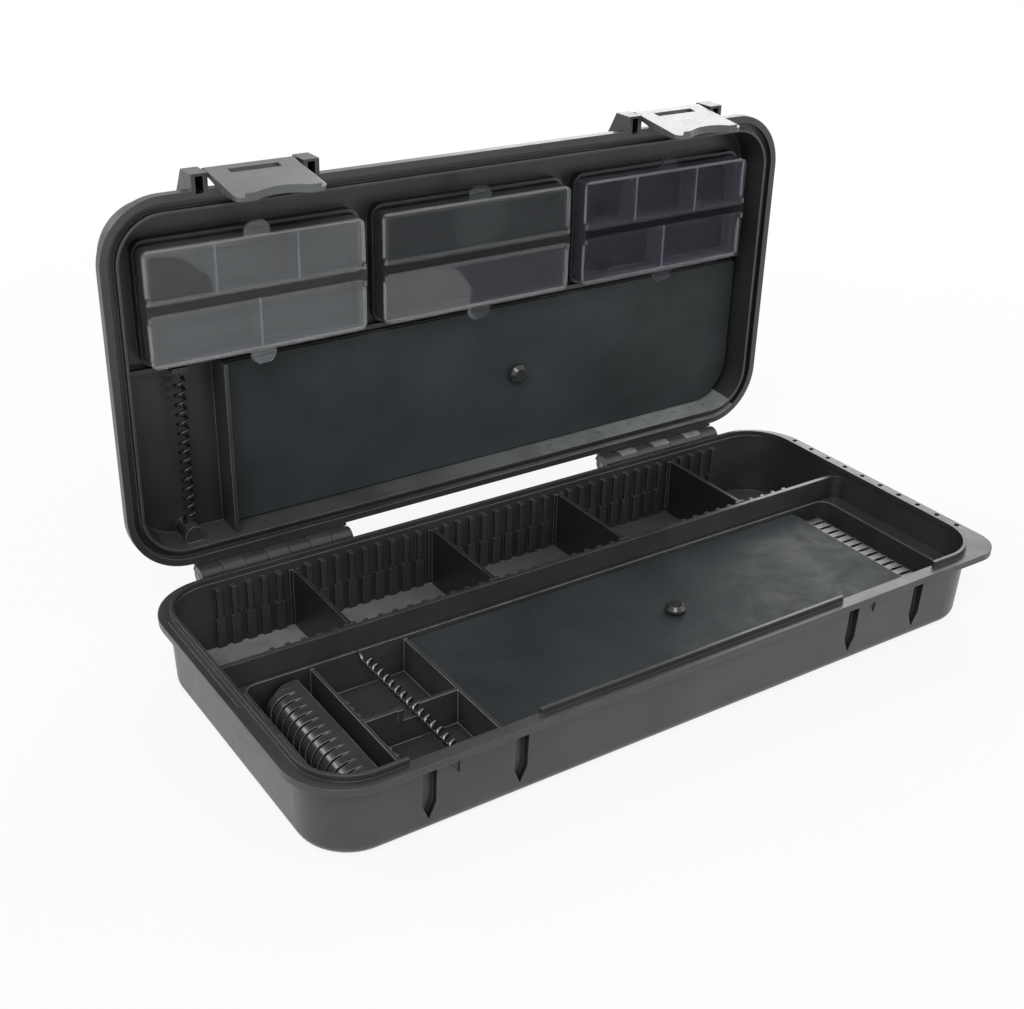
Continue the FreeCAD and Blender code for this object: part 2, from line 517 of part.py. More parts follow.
def make_lid_bays(body):
    # ribs on the lid's panel: the frames of the three boxes, the plate's seat and the spring's bay
    panel = "lidTop - lidPanel"
    inset = "ringWide + grooveWide + ridgeWide / 2"
    embed = "lidTop - lidPanel / 2"
    pad(body, "BoxRib", "XY_Plane",
        [box_loop(f"-lidLong + {inset} + overRun", f"lidLong - {inset} - overRun", "-boxRibFront",
                  "boxRibThick - boxRibFront")], f"{panel} - boxRibHigh", embed)
    pad(body, "BayWall", "XY_Plane",
        [box_loop("-bayLeft - bayWall / 2", "-bayLeft + bayWall / 2", "boxRibThick / 2 - boxRibFront",
                  "bayWallBack")], f"{panel} - bayWallHigh", embed)
    pad(body, "BayStrip", "XY_Plane",
        [box_loop("-bayLeft", "-bayLeft + bayWall / 2 + stripWide", "stripFront", "stripBack")],
        "lidTop - lidPanel - lidPlateRise - plateThick - plateGap - stripThick",
        "lidTop - lidPanel - lidPlateRise - plateThick - 3 * plateGap")
    left, right = "-lidPlateLeft - plateMargin", "lidPlateRight + plateMargin"
    front, back = "-lidPlateFront - plateMargin", "lidPlateBack"
    round_out, round_in = "lidPlateRound", "lidPlateRound - lidSeatWide"
    pad(body, "PlateSeat", "XY_Plane",
        [box_loop(left, right, front, back, ["plateRound", "plateRound", round_out, "plateRound"]),
         box_loop(f"{left} + lidSeatWide", f"{right} - lidSeatWide", f"{front} + lidSeatWide",
                  f"{back} - lidSeatWide", ["plateRound", "plateRound", round_in, "plateRound"])],
        f"{panel} - lidPlateRise", embed)
    for number, place in enumerate((-1, 0, 1), 1):
        middle = f"{place} * boxPitch"
        half = "boxLong / 2 + frameMargin"
        outer = box_loop(f"{middle} - {half} - frameThick", f"{middle} + {half} + frameThick",
                         "-boxFront - frameMargin - frameThick", "-boxBack + frameMargin + frameThick",
                         "frameRound + frameThick")
        inner = box_loop(f"{middle} - ({half})", f"{middle} + {half}", "-boxFront - frameMargin",
                         "-boxBack + frameMargin", "frameRound")
        pad(body, f"Frame{number}", "XY_Plane", [outer, inner], f"{panel} - frameHigh", embed)
    pad(body, "Post", "XY_Plane", [("-lidCoilAcross", "postBack", "postRadius")], "postFaceHigh", embed)
    pad(body, "Anchor", "XY_Plane",
        [box_loop("-lidCoilAcross - anchorHalf", "-lidCoilAcross + anchorHalf", "-boxRibFront",
                  "anchorThick - boxRibFront")], "anchorHigh", embed)


def make_lid_plate():
    body = new_body("lid_cover_plate")
    seat = "lidTop - lidPanel - lidPlateRise - plateGap"
    pad(body, "Plate", "XY_Plane",
        [box_loop("-lidPlateLeft", "lidPlateRight", "-lidPlateFront", "lidPlateBack - plateMargin",
                  ["plateRound", "plateRound", "lidPlateRound", "plateRound"])],
        f"{seat} - plateThick", seat)
    return body


# Latch flap about its own pin, hanging down, with the outer face towards -Y
def make_flap(side, sign):
    body = new_body("latch_flap_" + side)
    outer, inner = "-flapOffset - flapThick", "-flapOffset"
    pad(body, "Barrel", "YZ_Plane", [("0", "0", "barrelRadius")], "-flapHalf", "flapHalf")
    plate = box_loop("-flapHalf", "flapHalf", "-flapLong", "0", ["flapRound", "flapRound", None, None])
    pad(body, "Plate", "XZ_Plane", [plate], outer, inner)
    for name, low, high in (("Left", "-flapHalf", "skirtThick - flapHalf"),
                            ("Right", "flapHalf - skirtThick", "flapHalf")):
        skirt = [(f"{inner} - flapThick / 2", "-skirtTop"),
                 (f"{inner} - flapThick / 2", "-flapLong + flapRound"),
                 (f"{inner} + skirtTipDeep", "-flapLong + flapRound"),
                 (f"{inner} + skirtDeep", "-skirtLow"), (f"{inner} + skirtNeck", "-skirtStep"),
                 (inner, "-skirtTop")]
        pad(body, "Skirt" + name, "YZ_Plane", [skirt], low, high)
    hook = [(f"{inner} - flapThick / 2", "-hookTop"), (f"{inner} - flapThick / 2", "-hookLow"),
            (inner, "-hookLow"), (f"{inner} + hookDeep", "-hookTop")]
    pad(body, "Hook", "YZ_Plane", [hook], "-hookHalf", "hookHalf")
    finger = [("-fingerHalf", "-flapLong"), ("fingerHalf", "-flapLong"),
              ("0", "-flapLong + fingerRise", "fingerRound")]
    pad(body, "FingerLip", "XZ_Plane", [finger], f"{outer} - fingerOut", f"{outer} + flapThick / 2")
    arch = [("-archHalf", "-flapLong - overRun / 2"), ("archHalf", "-flapLong - overRun / 2"),
            ("0", "-flapLong + archRise", "archRound")]
    window = box_loop("-flapSlotHalf", "flapSlotHalf", "-flapSlotLow", "-flapSlotTop")
    pocket(body, "Openings", "XZ_Plane", [arch, window], f"{outer} - fingerOut - overRun",
           f"{inner} + overRun")
    pocket(body, "PinBore", "YZ_Plane", [("0", "0", "latchPinRadius + runningGap")], "-flapHalf", "flapHalf")
    place_at_latch(body, sign, "0", "latchLeanAngle - openAngle")
    return body


def place_at_latch(part, sign, shift, angle):
    part.setExpression("Placement.Base.x", bound(f"{sign}latchAcross + {shift}"))
    part.setExpression("Placement.Base.y", bound("latchPinHigh + hingeBack - hingeHigh"))
    part.setExpression("Placement.Base.z", bound("hingeBack + hingeHigh + latchPinOut"))
    part.Placement = Placement(Vector(), Rotation(Vector(1, 0, 0), value(angle)))


def make_pin(label, radius, length, places):
    pin = doc.addObject("Part::Cylinder", label)
    pin.Label = label
    pin.setExpression("Radius", bound(radius))
    pin.setExpression("Height", bound(length))
    pin.Placement = Placement(Vector(), Rotation(Vector(0, 1, 0), value("openAngle")))
    for axis, formula in places.items():
        pin.setExpression(f"Placement.Base.{axis}", bound(formula))
    return pin


# Small box in the closed place: an open tray with cells, a middle strip and lugs for the lids' pins
boxMiddle = "-(boxFront + boxBack) / 2"
lidAxisAcross = "(stripHalf + barrelGap + boxBarrel)"
lidAxisHigh = "(boxFace + boxLidSink + boxLidThick - boxBarrel)"


def make_box_tray(number, place, cells):
    body = new_body(f"box_tray_{number}")
    middle, half = f"{place} * boxPitch", "boxLong / 2"
    face = "boxFace + boxLidSink + boxLidThick + boxLidGap"
    seat = "lidTop - lidPanel - boxSeat"
    pad(body, "Block", "XY_Plane",
        [box_loop(f"{middle} - {half}", f"{middle} + {half}", "-boxFront", "-boxBack", "boxRound")],
        face, seat)
    edges = {"Upper": (f"-boxFront + boxWall", f"{boxMiddle} - stripHalf"),
             "Lower": (f"{boxMiddle} + stripHalf", "-boxBack - boxWall")}
    left, right = f"{middle} - {half} + boxWall", f"{middle} + {half} - boxWall"
    for row, (front, back) in edges.items():
        walls = [f"{middle} - {half} + {wall}" for wall in cells[row]]
        starts = [left] + [f"{wall} + wallThin / 2" for wall in walls]
        ends = [f"{wall} - wallThin / 2" for wall in walls] + [right]
        loops = [box_loop(start, end, front, back) for start, end in zip(starts, ends)]
        pocket(body, "Cells" + row, "XY_Plane", loops, face, f"{seat} - boxFloor", upward=True)
    pad(body, "Strip", "XY_Plane",
        [box_loop(f"{middle} - {half} + lugLong / 2", f"{middle} + {half} - lugLong / 2",
                  f"{boxMiddle} - stripHalf", f"{boxMiddle} + stripHalf")], "boxFace", f"{face} + boxWall")
    for end, way, sign in (("Left", "-", "+"), ("Right", "+", "-")):
        outer = f"({middle} {way} {half})"
        low, high = sorted((outer, f"({outer} {sign} boxWall)"), key=value)
        reach = f"{lidAxisAcross} + boxBarrel + lugLong / 2"
        lug = box_loop(f"{boxMiddle} - ({reach})", f"{boxMiddle} + {reach}", f"{lidAxisHigh} - boxBarrel",
                       f"{face} + boxWall")
        pad(body, "Lug" + end, "YZ_Plane", [lug], low, high)
        for row, row_sign in (("Upper", "-"), ("Lower", "+")):
            pocket(body, f"Bore{end}{row}", "YZ_Plane",
                   [(f"{boxMiddle} {row_sign} {lidAxisAcross}", lidAxisHigh, "boxPinRadius + runningGap")],
                   low, high)
    open_with_lid(body)
    return body


def make_box_lid(number, place, row, label):
    # clear lid about its own hinge line, with a rim border, a finger tab and two pivot stubs
    body = new_body(f"{label}_{number}")
    way = -1 if row == "Upper" else 1
    sign = "-" if row == "Upper" else ""
    middle, half = f"{place} * boxPitch", "boxLong / 2"
    axis = f"{boxMiddle} + ({way}) * {lidAxisAcross}"
    edge = "-boxFront" if row == "Upper" else "-boxBack"
    low, high = "boxFace + boxLidSink", "boxFace + boxLidSink + boxLidThick"
    lug_end = f"{boxMiddle} + ({way}) * ({lidAxisAcross} + boxBarrel + lugLong / 2 + lidTurnGap)"
    inner = f"{half} - boxWall - boxLidGap"
    plate = [(f"{middle} - ({inner})", axis), (f"{middle} - ({inner})", lug_end),
             (f"{middle} - {half}", lug_end), (f"{middle} - {half}", edge, "boxRound"),
             (f"{middle} + {half}", edge, "boxRound"), (f"{middle} + {half}", lug_end),
             (f"{middle} + {inner}", lug_end), (f"{middle} + {inner}", axis)]
    pad(body, "Plate", "XY_Plane", [plate], low, high)
    tab_edge = f"{edge} + ({way}) * tabOut"
    tab = [(f"{middle} - tabHalf", f"{edge} - ({way}) * overRun"),
           (f"{middle} - tabHalf", tab_edge, "tabRound"),
           (f"{middle} + tabHalf", tab_edge, "tabRound"),
           (f"{middle} + tabHalf", f"{edge} - ({way}) * overRun")]
    pad(body, "Tab", "XY_Plane", [tab], low, high)
    border_out = box_loop(f"{middle} - ({inner})", f"{middle} + {inner}",
                          f"{edge} - ({way}) * wallThin", lug_end)
    border_in = box_loop(f"{middle} - ({inner}) + borderWide", f"{middle} + {inner} - borderWide",
                         f"{edge} - ({way}) * (wallThin + borderWide)", f"{lug_end} + ({way}) * borderWide")
    pad(body, "Border", "XY_Plane", [border_out, border_in], f"{low} - borderHigh", low)
    pad(body, "Barrel", "YZ_Plane", [(axis, lidAxisHigh, "boxBarrel")], f"{middle} - ({inner})",
        f"{middle} + {inner}")
    pad(body, "Pivot", "YZ_Plane", [(axis, lidAxisHigh, "boxPinRadius")],
        f"{middle} - ({inner}) - boxLidGap - boxPinLong", f"{middle} + {inner} + boxLidGap + boxPinLong")
    open_with_lid(body)
    return body


# Springs: one unbroken helical wire each, with both ends turned to run along the axis
def corner_arc(start, corner, end):
    middle = (start + end) / 2
    half_chord = (start - middle).Length
    rise = (corner - middle).Length
    turn = math.atan2(rise, half_chord)
    share = math.tan(turn / 2) / math.tan(turn)
    return Part.Arc(start, middle + (corner - middle) * share, end).toShape()


def biarc(start, start_way, end, end_way):
    # two tangent arcs from one point and direction to the next
    across, ways = end - start, start_way + end_way
    spread = 2 * (1 - start_way.dot(end_way))
    along = across.dot(ways)
    reach = (math.sqrt(along * along + spread * across.dot(across)) - along) / spread
    first, last = start + start_way * reach, end - end_way * reach
    join = (first + last) / 2
    return [corner_arc(start, first, join), corner_arc(join, last, end)]


def make_spring(label, radius, wire, pitch, turns):
    step_share, sides = value("coilStepShare"), int(value("wireSides"))
    steps = int(round(turns / step_share))
    rise = pitch / math.tau

    def at(step):
        angle = math.tau * step * step_share
        return Vector(radius * math.cos(angle), radius * math.sin(angle), rise * angle)

    def way(step):
        angle = math.tau * step * step_share
        return Vector(-radius * math.sin(angle), radius * math.cos(angle), rise).normalize()

    axis = Vector(0, 0, 1)
    bend = value("wireBendShare") * wire
    start, end = at(0), at(steps)
    first_corner = start - way(0) * bend
    foot = first_corner - axis * bend
    last_corner = end + way(steps) * bend
    head = last_corner + axis * bend
    edges = [Part.LineSegment(foot - axis * wire, foot).toShape(), corner_arc(foot, first_corner, start)]
    for step in range(steps):
        edges += biarc(at(step), way(step), at(step + 1), way(step + 1))
    edges += [corner_arc(end, last_corner, head), Part.LineSegment(head, head + axis * wire).toShape()]
    path = Part.Wire(edges)
    tail = foot - axis * wire
    corners = [tail + Vector(math.cos(turn), math.sin(turn), 0) * (wire / 2)
               for turn in (math.tau * side / sides for side in range(sides + 1))]
    profile = Part.makePolygon(corners)
    print(label, "least self-gap", round(self_gap(path, radius, wire, pitch), 2))
    spring = doc.addObject("Part::Feature", label)
    spring.Label = label
    spring.Shape = path.makePipeShell([profile], True, False)
    return spring, tail.z, head.z + wire


def self_gap(path, radius, wire, pitch):
    # least distance between points of the wire more than half a turn apart along it, less its thickness
    points = path.discretize(Distance=wire / 2)
    apart = int(math.pi * radius / (wire / 2))
    return min((points[i] - points[j]).Length for i in range(0, len(points), 2)
               for j in range(i + apart, min(len(points), i + 6 * apart), 2)) - wire


def make_springs():
    # the base spring spans the cells from the tray's front wall to its back wall
    wire, radius, pitch = value("baseWire"), value("baseCoilRadius"), value("basePitch")
    span = value("trayFront + trayBack")
    fit_coil("base_hook_spring", radius, wire, pitch, span,
             Vector(-value("baseCoilAcross"), -value("trayFront"), value("baseCoilHigh")),
             Rotation(Vector(1, 0, 0), -90))
    wire, radius, pitch = value("lidWire"), value("lidCoilRadius"), value("lidPitch")
    front = value("anchorThick - boxRibFront")
    back = value("postBack - postRadius")
    closed = Vector(-value("lidCoilAcross"), front, value("lidCoilHigh"))
    turn = Rotation(Vector(1, 0, 0), -value("openAngle"))
    hinge = Placement(Vector(0, value("hingeBack - hingeHigh"), value("hingeBack + hingeHigh")), turn)
    fit_coil("lid_hook_spring", radius, wire, pitch, back - front, hinge.multVec(closed),
             turn.multiply(Rotation(Vector(1, 0, 0), -90)))


def fit_coil(label, radius, wire, pitch, span, start, turn):
    # whole steps of a turn that fill the span between two seats, once both turned ends are let in
    bend, gap = value("wireBendShare") * wire, value("coilEndGap")

    def room(rise):
        slope = rise / math.hypot(math.tau * radius, rise)
        return span - 2 * (wire + bend * (1 + slope) + gap)

    step_share, fitted = value("coilStepShare"), pitch
    turns = math.floor(room(pitch) / pitch / step_share) * step_share
    for _ in range(8):
        fitted = room(fitted) / turns
    spring, low, high = make_spring(label, radius, wire, fitted, turns)
    shift = (span - (high - low)) / 2 - low
    spring.Placement = Placement(start, turn).multiply(Placement(Vector(0, 0, shift), Rotation()))


bodies = [make_base_shell(), make_front_tray(), make_base_plate()]
for number, index in enumerate((-15, -5, 5, 15), 1):
    bodies.append(make_divider(number, index))
baseKnob = make_knob("base_cover_knob")
baseKnob.setExpression("Placement.Base.x", bound("knobAcross"))
baseKnob.setExpression("Placement.Base.y", bound("-knobFront"))
baseKnob.setExpression("Placement.Base.z", bound("seatHigh + plateGap + plateThick"))

lidShell = make_lid_shell()
open_with_lid(lidShell)
lidPlate = make_lid_plate()
open_with_lid(lidPlate)
lidKnob = make_knob("lid_cover_knob")
lidKnob.Placement = Placement(Vector(), Rotation(Vector(1, 0, 0), value("openAngle")))
lidKnob.setExpression("Placement.Base.x", bound("knobAcross"))
lidKnob.setExpression("Placement.Base.y", bound("lidTop - lidPanel - lidPlateRise - plateGap - plateThick"
                                                " + hingeBack - hingeHigh"))
lidKnob.setExpression("Placement.Base.z", bound("lidKnobHigh"))

for side, sign in (("left", "-"), ("right", "")):
    make_pin("hinge_pin_" + side, "hingePinRadius", "knuckleCount * knucklePitch",
             {"x": f"{sign}hingeAcross - knuckleCount * knucklePitch / 2", "y": "hingeBack",
              "z": "hingeHigh"})
    make_flap(side, sign)
    make_pin("latch_pin_" + side, "latchPinRadius", "2 * latchPinHalf",
             {"x": f"{sign}latchAcross - latchPinHalf", "y": "latchPinHigh + hingeBack - hingeHigh",
              "z": "hingeBack + hingeHigh + latchPinOut"})

fullCells = {"Upper": ["upperCell", "upperCellTwo"], "Lower": ["boxLong / 2"]}
openCells = {"Upper": [], "Lower": []}
for number, (place, cells) in enumerate(((-1, fullCells), (0, openCells), (1, fullCells)), 1):
    make_box_tray(number, place, cells)
    make_box_lid(number, place, "Upper", "box_lid_upper")
    make_box_lid(number, place, "Lower", "box_lid_lower")
make_springs()
doc.recompute()

# Every object is sound and every sub-part valid before anything is written
faults = [item.Name for item in doc.Objects if {"Invalid", "Error"} & set(item.State)]
kinds = ("PartDesign::Body", "Part::Cylinder", "Part::Feature")
parts = [item for item in doc.Objects if item.TypeId in kinds]
faults += [item.Label for item in parts if item.Shape.isNull() or not item.Shape.isValid()]
faults += [item.Label for item in parts if len(item.Shape.Solids) != 1]
for item in parts:
    box = item.Shape.BoundBox
    print(f"{item.Label:20s} {item.Shape.Volume:10.1f} x {box.XMin:7.1f} {box.XMax:7.1f}"
          f" y {box.YMin:6.1f} {box.YMax:6.1f} z {box.ZMin:6.1f} {box.ZMax:6.1f}")
if faults:
    raise ValueError("faulty objects: " + ", ".join(faults))
os.makedirs("parts", exist_ok=True)
for item in parts:
    item.Shape.exportStep(f"parts/{item.Label}.step")
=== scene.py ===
import math

import bmesh
import bpy
from mathutils import Matrix, Vector


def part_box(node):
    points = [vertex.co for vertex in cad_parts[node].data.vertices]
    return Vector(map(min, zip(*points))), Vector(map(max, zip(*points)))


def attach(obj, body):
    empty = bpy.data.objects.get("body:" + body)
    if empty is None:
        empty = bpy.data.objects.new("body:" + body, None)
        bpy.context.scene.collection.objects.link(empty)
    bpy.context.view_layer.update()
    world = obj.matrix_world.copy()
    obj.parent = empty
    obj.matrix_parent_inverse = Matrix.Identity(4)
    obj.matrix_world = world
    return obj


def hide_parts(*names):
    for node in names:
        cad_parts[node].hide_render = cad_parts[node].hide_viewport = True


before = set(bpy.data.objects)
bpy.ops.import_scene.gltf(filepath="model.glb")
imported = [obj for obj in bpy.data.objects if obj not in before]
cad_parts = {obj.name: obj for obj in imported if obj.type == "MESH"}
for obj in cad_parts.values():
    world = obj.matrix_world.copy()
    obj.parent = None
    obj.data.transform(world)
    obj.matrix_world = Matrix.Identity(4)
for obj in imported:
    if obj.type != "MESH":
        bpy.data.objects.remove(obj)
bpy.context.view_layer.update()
millimetre = 0.001
print("frame loaded:", len(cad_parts), "nodes")

# Colours are linear, lengths in metres unless a name ends in Mm
# deep is a painted shade tone for corners and recesses, and paintedShadeMm is how far that painted shade
# reaches
shellLook = {"tone": (0.030, 0.0312, 0.0285), "light": (0.045, 0.047, 0.044), "paintedShadeTone": (0.006, 0.0063, 0.0055),
             "mottleMm": 38, "grainMm": 0.42, "grainDepthMm": 0.009, "roughLow": 0.31, "roughHigh": 0.38,
             # floorLitTone is painted light on the low faces that look up
             "floorLitTone": (0.26, 0.275, 0.27), "floorMm": 3.4, "floorFromMm": 60, "floorToMm": -150,
             # edgeWearHighlight paints the edges lighter, both as wear and as painted highlight
             "edgeMm": 0.45, "edgeWearHighlight": (0.22, 0.232, 0.22), "edgeAmount": 0.45, "paintedShadeMm": 24,
             "dust": 0.03, "ior": 1.52}
trayLook = dict(shellLook, tone=(0.034, 0.0355, 0.033), light=(0.052, 0.054, 0.051), paintedShadeMm=9,
                roughLow=0.20, roughHigh=0.26, edgeMm=0.6, edgeWearHighlight=(0.46, 0.475, 0.46), edgeAmount=0.8)
# Dividers are toned darker as painted shade cast on them by the walls around them
dividerShadeLook = dict(shellLook, tone=(0.013, 0.0135, 0.012), light=(0.020, 0.021, 0.019), edgeMm=0.6,
                   edgeAmount=0.8)
lidLook = dict(shellLook, tone=(0.025, 0.026, 0.025), light=(0.037, 0.039, 0.038), paintedShadeMm=20,
               edgeWearHighlight=(0.36, 0.39, 0.37), edgeAmount=0.5, floorLitTone=(0.25, 0.264, 0.262), floorMm=56,
               floorFromMm=-70, floorToMm=130)
numeralLook = dict(lidLook, tone=(0.010, 0.010, 0.010), light=(0.018, 0.018, 0.018), edgeMm=0.05)
# Hinge covers are near-black as painted shade behind the knuckles
hingeShadeLook = dict(lidLook, tone=(0.004, 0.0042, 0.004), light=(0.006, 0.0062, 0.006), edgeAmount=0)
latchLook = dict(shellLook, tone=(0.075, 0.083, 0.080), light=(0.105, 0.116, 0.112),
                 paintedShadeTone=(0.012, 0.013, 0.012), roughLow=0.22, roughHigh=0.30, paintedShadeMm=8, edgeAmount=0.5,
                 mottleMm=22, grainDepthMm=0.003)
knobLook = dict(shellLook, tone=(0.026, 0.028, 0.027), light=(0.040, 0.043, 0.042), grainMm=0.3,
                roughLow=0.12, roughHigh=0.22, paintedShadeMm=3, edgeAmount=0.2, mottleMm=6)
coverLook = {"tone": (0.0195, 0.0235, 0.0255), "light": (0.037, 0.043, 0.046), "smudgeMm": 34, "mottleMm": 68,
             "grainMm": 0.24, "grainDepthMm": 0.006, "roughLow": 0.52, "roughHigh": 0.70, "edgeMm": 0.3,
             "edgeWearHighlight": (0.12, 0.13, 0.135), "edgeAmount": 0.35, "smearAmount": 0.28, "smearGloss": 0.10,
             "ior": 1.36}
steelLook = {"tone": (0.26, 0.265, 0.26), "dark": (0.09, 0.09, 0.09), "rough": 0.26, "lineMm": 0.25,
             "drawn": (3.0, 0.6, 0.5), "toneRange": (0.35, 0.7), "roughRange": (0.3, 0.7),
             "roughSpread": 0.12, "lineDepthMm": 0.01}
blackWireLook = dict(steelLook, tone=(0.012, 0.012, 0.013), dark=(0.006, 0.006, 0.006), rough=0.20,
                     lineMm=0.4)
# rim is a near-white tone that paints highlights on the rims and edges of the clear plastic
clearLook = {"flat": (0.15, 0.155, 0.16), "wall": (0.30, 0.31, 0.33), "rim": (0.98, 0.99, 1.0),
             "roughLow": 0.02, "roughHigh": 0.06, "roughMm": 30, "cloud": (2.0, 0.45, 1.8),
             "cloudRange": (0.40, 0.60), "edgeMm": 0.3, "edgeAmount": 0.8, "bandMm": 2.0, "faceMm": 92.75,
             "stripHalfMm": 2.6, "milk": 0.15, "ior": 1.28}
trayLooks = {1: clearLook,
             2: dict(clearLook, flat=(0.09, 0.095, 0.105), wall=(0.22, 0.23, 0.245), milk=0.13, ior=1.2),
             3: dict(clearLook, flat=(0.04, 0.04, 0.06), wall=(0.28, 0.28, 0.34), rim=(0.93, 0.93, 1.0),
                     ior=1.12)}
# Clear lids: a film with one painted reflection patch of another tint, lighter or darker, for the light and
# shade they reflect. The patch's middle is a share of the lid, and a reach below zero leaves the patch out
filmLook = dict(clearLook, flat=(0.80, 0.835, 0.86), reflectionPatchTone=(0.50, 0.52, 0.54), reflectionPatchAt=(0.12, 0.05),
                reachMm=-14, wobbleMm=14, milk=0.060, ior=1.30)
darkFilmLook = dict(filmLook, flat=(0.84, 0.84, 0.92), reflectionPatchTone=(0.60, 0.63, 0.68), wobbleMm=3, milk=0.012,
                    ior=1.11)
filmLooks = {
    "box_lid_upper_1": dict(filmLook, reachMm=17),
    "box_lid_lower_1": filmLook,
    "box_lid_upper_2": dict(filmLook, flat=(0.50, 0.53, 0.56), reflectionPatchTone=(0.64, 0.68, 0.70), reflectionPatchAt=(0.5, 0.6),
                            reachMm=14, milk=0.035, ior=1.16),
    "box_lid_lower_2": dict(filmLook, flat=(0.50, 0.52, 0.56), reflectionPatchTone=(0.95, 0.97, 0.98),
                            reflectionPatchAt=(0.12, -0.25), reachMm=34, milk=0.055, ior=1.15),
    "box_lid_upper_3": dict(darkFilmLook, reflectionPatchAt=(0.09, 0.45), reachMm=3.4),
    "box_lid_lower_3": dict(darkFilmLook, reflectionPatchAt=(0.13, 0.35), reachMm=3.8),
}


# Small helpers for node trees
def addNode(tree, kind, inputs=None, **settings):
    node = tree.nodes.new(kind)
    for name, value in settings.items():
        setattr(node, name, value)
    for name, value in (inputs or {}).items():
        if isinstance(value, bpy.types.NodeSocket):
            tree.links.new(value, node.inputs[name])
        else:
            node.inputs[name].default_value = value
    return node


def sums(tree, operation, first, second=0.0, third=0.0):
    return addNode(tree, "ShaderNodeMath", {0: first, 1: second, 2: third}, operation=operation).outputs[0]


def ranged(tree, value, low, high, newLow=0.0, newHigh=1.0):
    return addNode(tree, "ShaderNodeMapRange", {"Value": value, "From Min": low, "From Max": high,
                                                "To Min": newLow, "To Max": newHigh}).outputs[0]


def mixed(tree, share, first, second):
    node = tree.nodes.new("ShaderNodeMix")
    node.data_type = "RGBA"
    for index, value in ((0, share), (6, first), (7, second)):
        if isinstance(value, bpy.types.NodeSocket):
            tree.links.new(value, node.inputs[index])
        else:
            node.inputs[index].default_value = value if index == 0 else (*value, 1)
    return node.outputs[2]


def noise(tree, place, scale, detail=3.0, rough=0.5, warp=0.0):
    return addNode(tree, "ShaderNodeTexNoise", {"Vector": place, "Scale": scale, "Detail": detail,
                                                "Roughness": rough, "Distortion": warp}).outputs[0]


def space(tree, kind="Object"):
    return tree.nodes.new("ShaderNodeTexCoord").outputs[kind]


def axes(tree, vector):
    return addNode(tree, "ShaderNodeSeparateXYZ", {0: vector}).outputs


def newGroup(name, inputs, outputs):
    group = bpy.data.node_groups.new(name, "ShaderNodeTree")
    for label, value in inputs.items():
        kind = "NodeSocketFloat" if isinstance(value, (int, float)) else "NodeSocketColor"
        socket = group.interface.new_socket(label, in_out="INPUT", socket_type=kind)
        socket.default_value = value if kind == "NodeSocketFloat" else (*value, 1)
    for label, kind in outputs.items():
        group.interface.new_socket(label, in_out="OUTPUT", socket_type="NodeSocket" + kind)
    start, end = group.nodes.new("NodeGroupInput"), group.nodes.new("NodeGroupOutput")
    return group, start.outputs, end.inputs


def useGroup(tree, group, values):
    node = tree.nodes.new("ShaderNodeGroup")
    node.node_tree = group
    for label, value in values.items():
        if isinstance(value, bpy.types.NodeSocket):
            tree.links.new(value, node.inputs[label])
        else:
            node.inputs[label].default_value = (*value, 1) if isinstance(value, tuple) else value
    return node.outputs


# Numbers of the shared effects. A noise is its detail, roughness and warp; a range is its two ends and, where
# they don't become 0 and 1, what they become
edgeEffect = {"rays": 6, "turned": (0.995, 0.80), "broken": (4.0,), "brokenRange": (0.35, 0.65, 0.45, 1.0)}
skinAndShadeEffect = {"slow": (4.0, 0.55, 0.4), "slowRange": (0.35, 0.68), "fine": (2.0, 0.6),
              "speckRange": (0.55, 0.80, 0.0, 0.16), "flow": (3.0, 0.6, 1.5), "flowRange": (0.3, 0.7),
              "flowShare": 3.7, "rays": 6, "paintedShadeRange": (0.10, 0.80)}
smearEffect = {"broad": (3.0, 0.5, 2.2), "broadRange": (0.40, 0.70), "wiped": (4.0, 0.6, 1.2),
               "wipedRange": (0.30, 0.75), "turn": (0.3, 0.2, 0.6), "stretch": (1.0, 5.0, 5.0)}
dustEffect = {"tone": (0.42, 0.41, 0.38), "upRange": (0.5, 1.0), "speckScale": 2600.0, "specks": (2.0,),
              "speckRange": (0.52, 0.72), "driftScale": 60.0, "drift": (4.0,), "driftRange": (0.35, 0.70)}
bandEffect = {"outsideMm": 0.05}
wallEffect = {"slackMm": 0.1, "facing": -0.9, "side": 0.5}
floorLightEffect = {"up": 0.8, "endRange": (0.12, 1.0), "scale": 34.0, "floorLightPatches": (4.0, 0.6, 1.0),
               "floorLightPatchRange": (0.3, 0.6, 0.55, 1.0)}
reflectionPatchEffect = {"scale": 55.0, "wave": (1.0, 0.4, 0.4), "waveMiddle": 0.5, "soft": 0.0006}


# Rounded edges: a softened normal, and a mask of the corners, which are painted lighter both as wear and as
# painted highlight
def makeEdgeGroup(look):
    group, given, out = newGroup("worn_edges_and_painted_highlight", {"Radius": 0.0004, "Break Up": 90.0},
                                 {"Normal": "Vector", "Mask": "Float"})
    bevel = addNode(group, "ShaderNodeBevel", {"Radius": given["Radius"]}, samples=look["rays"])
    flat = group.nodes.new("ShaderNodeNewGeometry")
    same = addNode(group, "ShaderNodeVectorMath", {0: bevel.outputs[0], 1: flat.outputs["Normal"]},
                   operation="DOT_PRODUCT").outputs["Value"]
    turned = ranged(group, same, *look["turned"])
    broken = ranged(group, noise(group, space(group), given["Break Up"], *look["broken"]),
                    *look["brokenRange"])
    group.links.new(bevel.outputs[0], out["Normal"])
    group.links.new(sums(group, "MULTIPLY", turned, broken), out["Mask"])
    return group
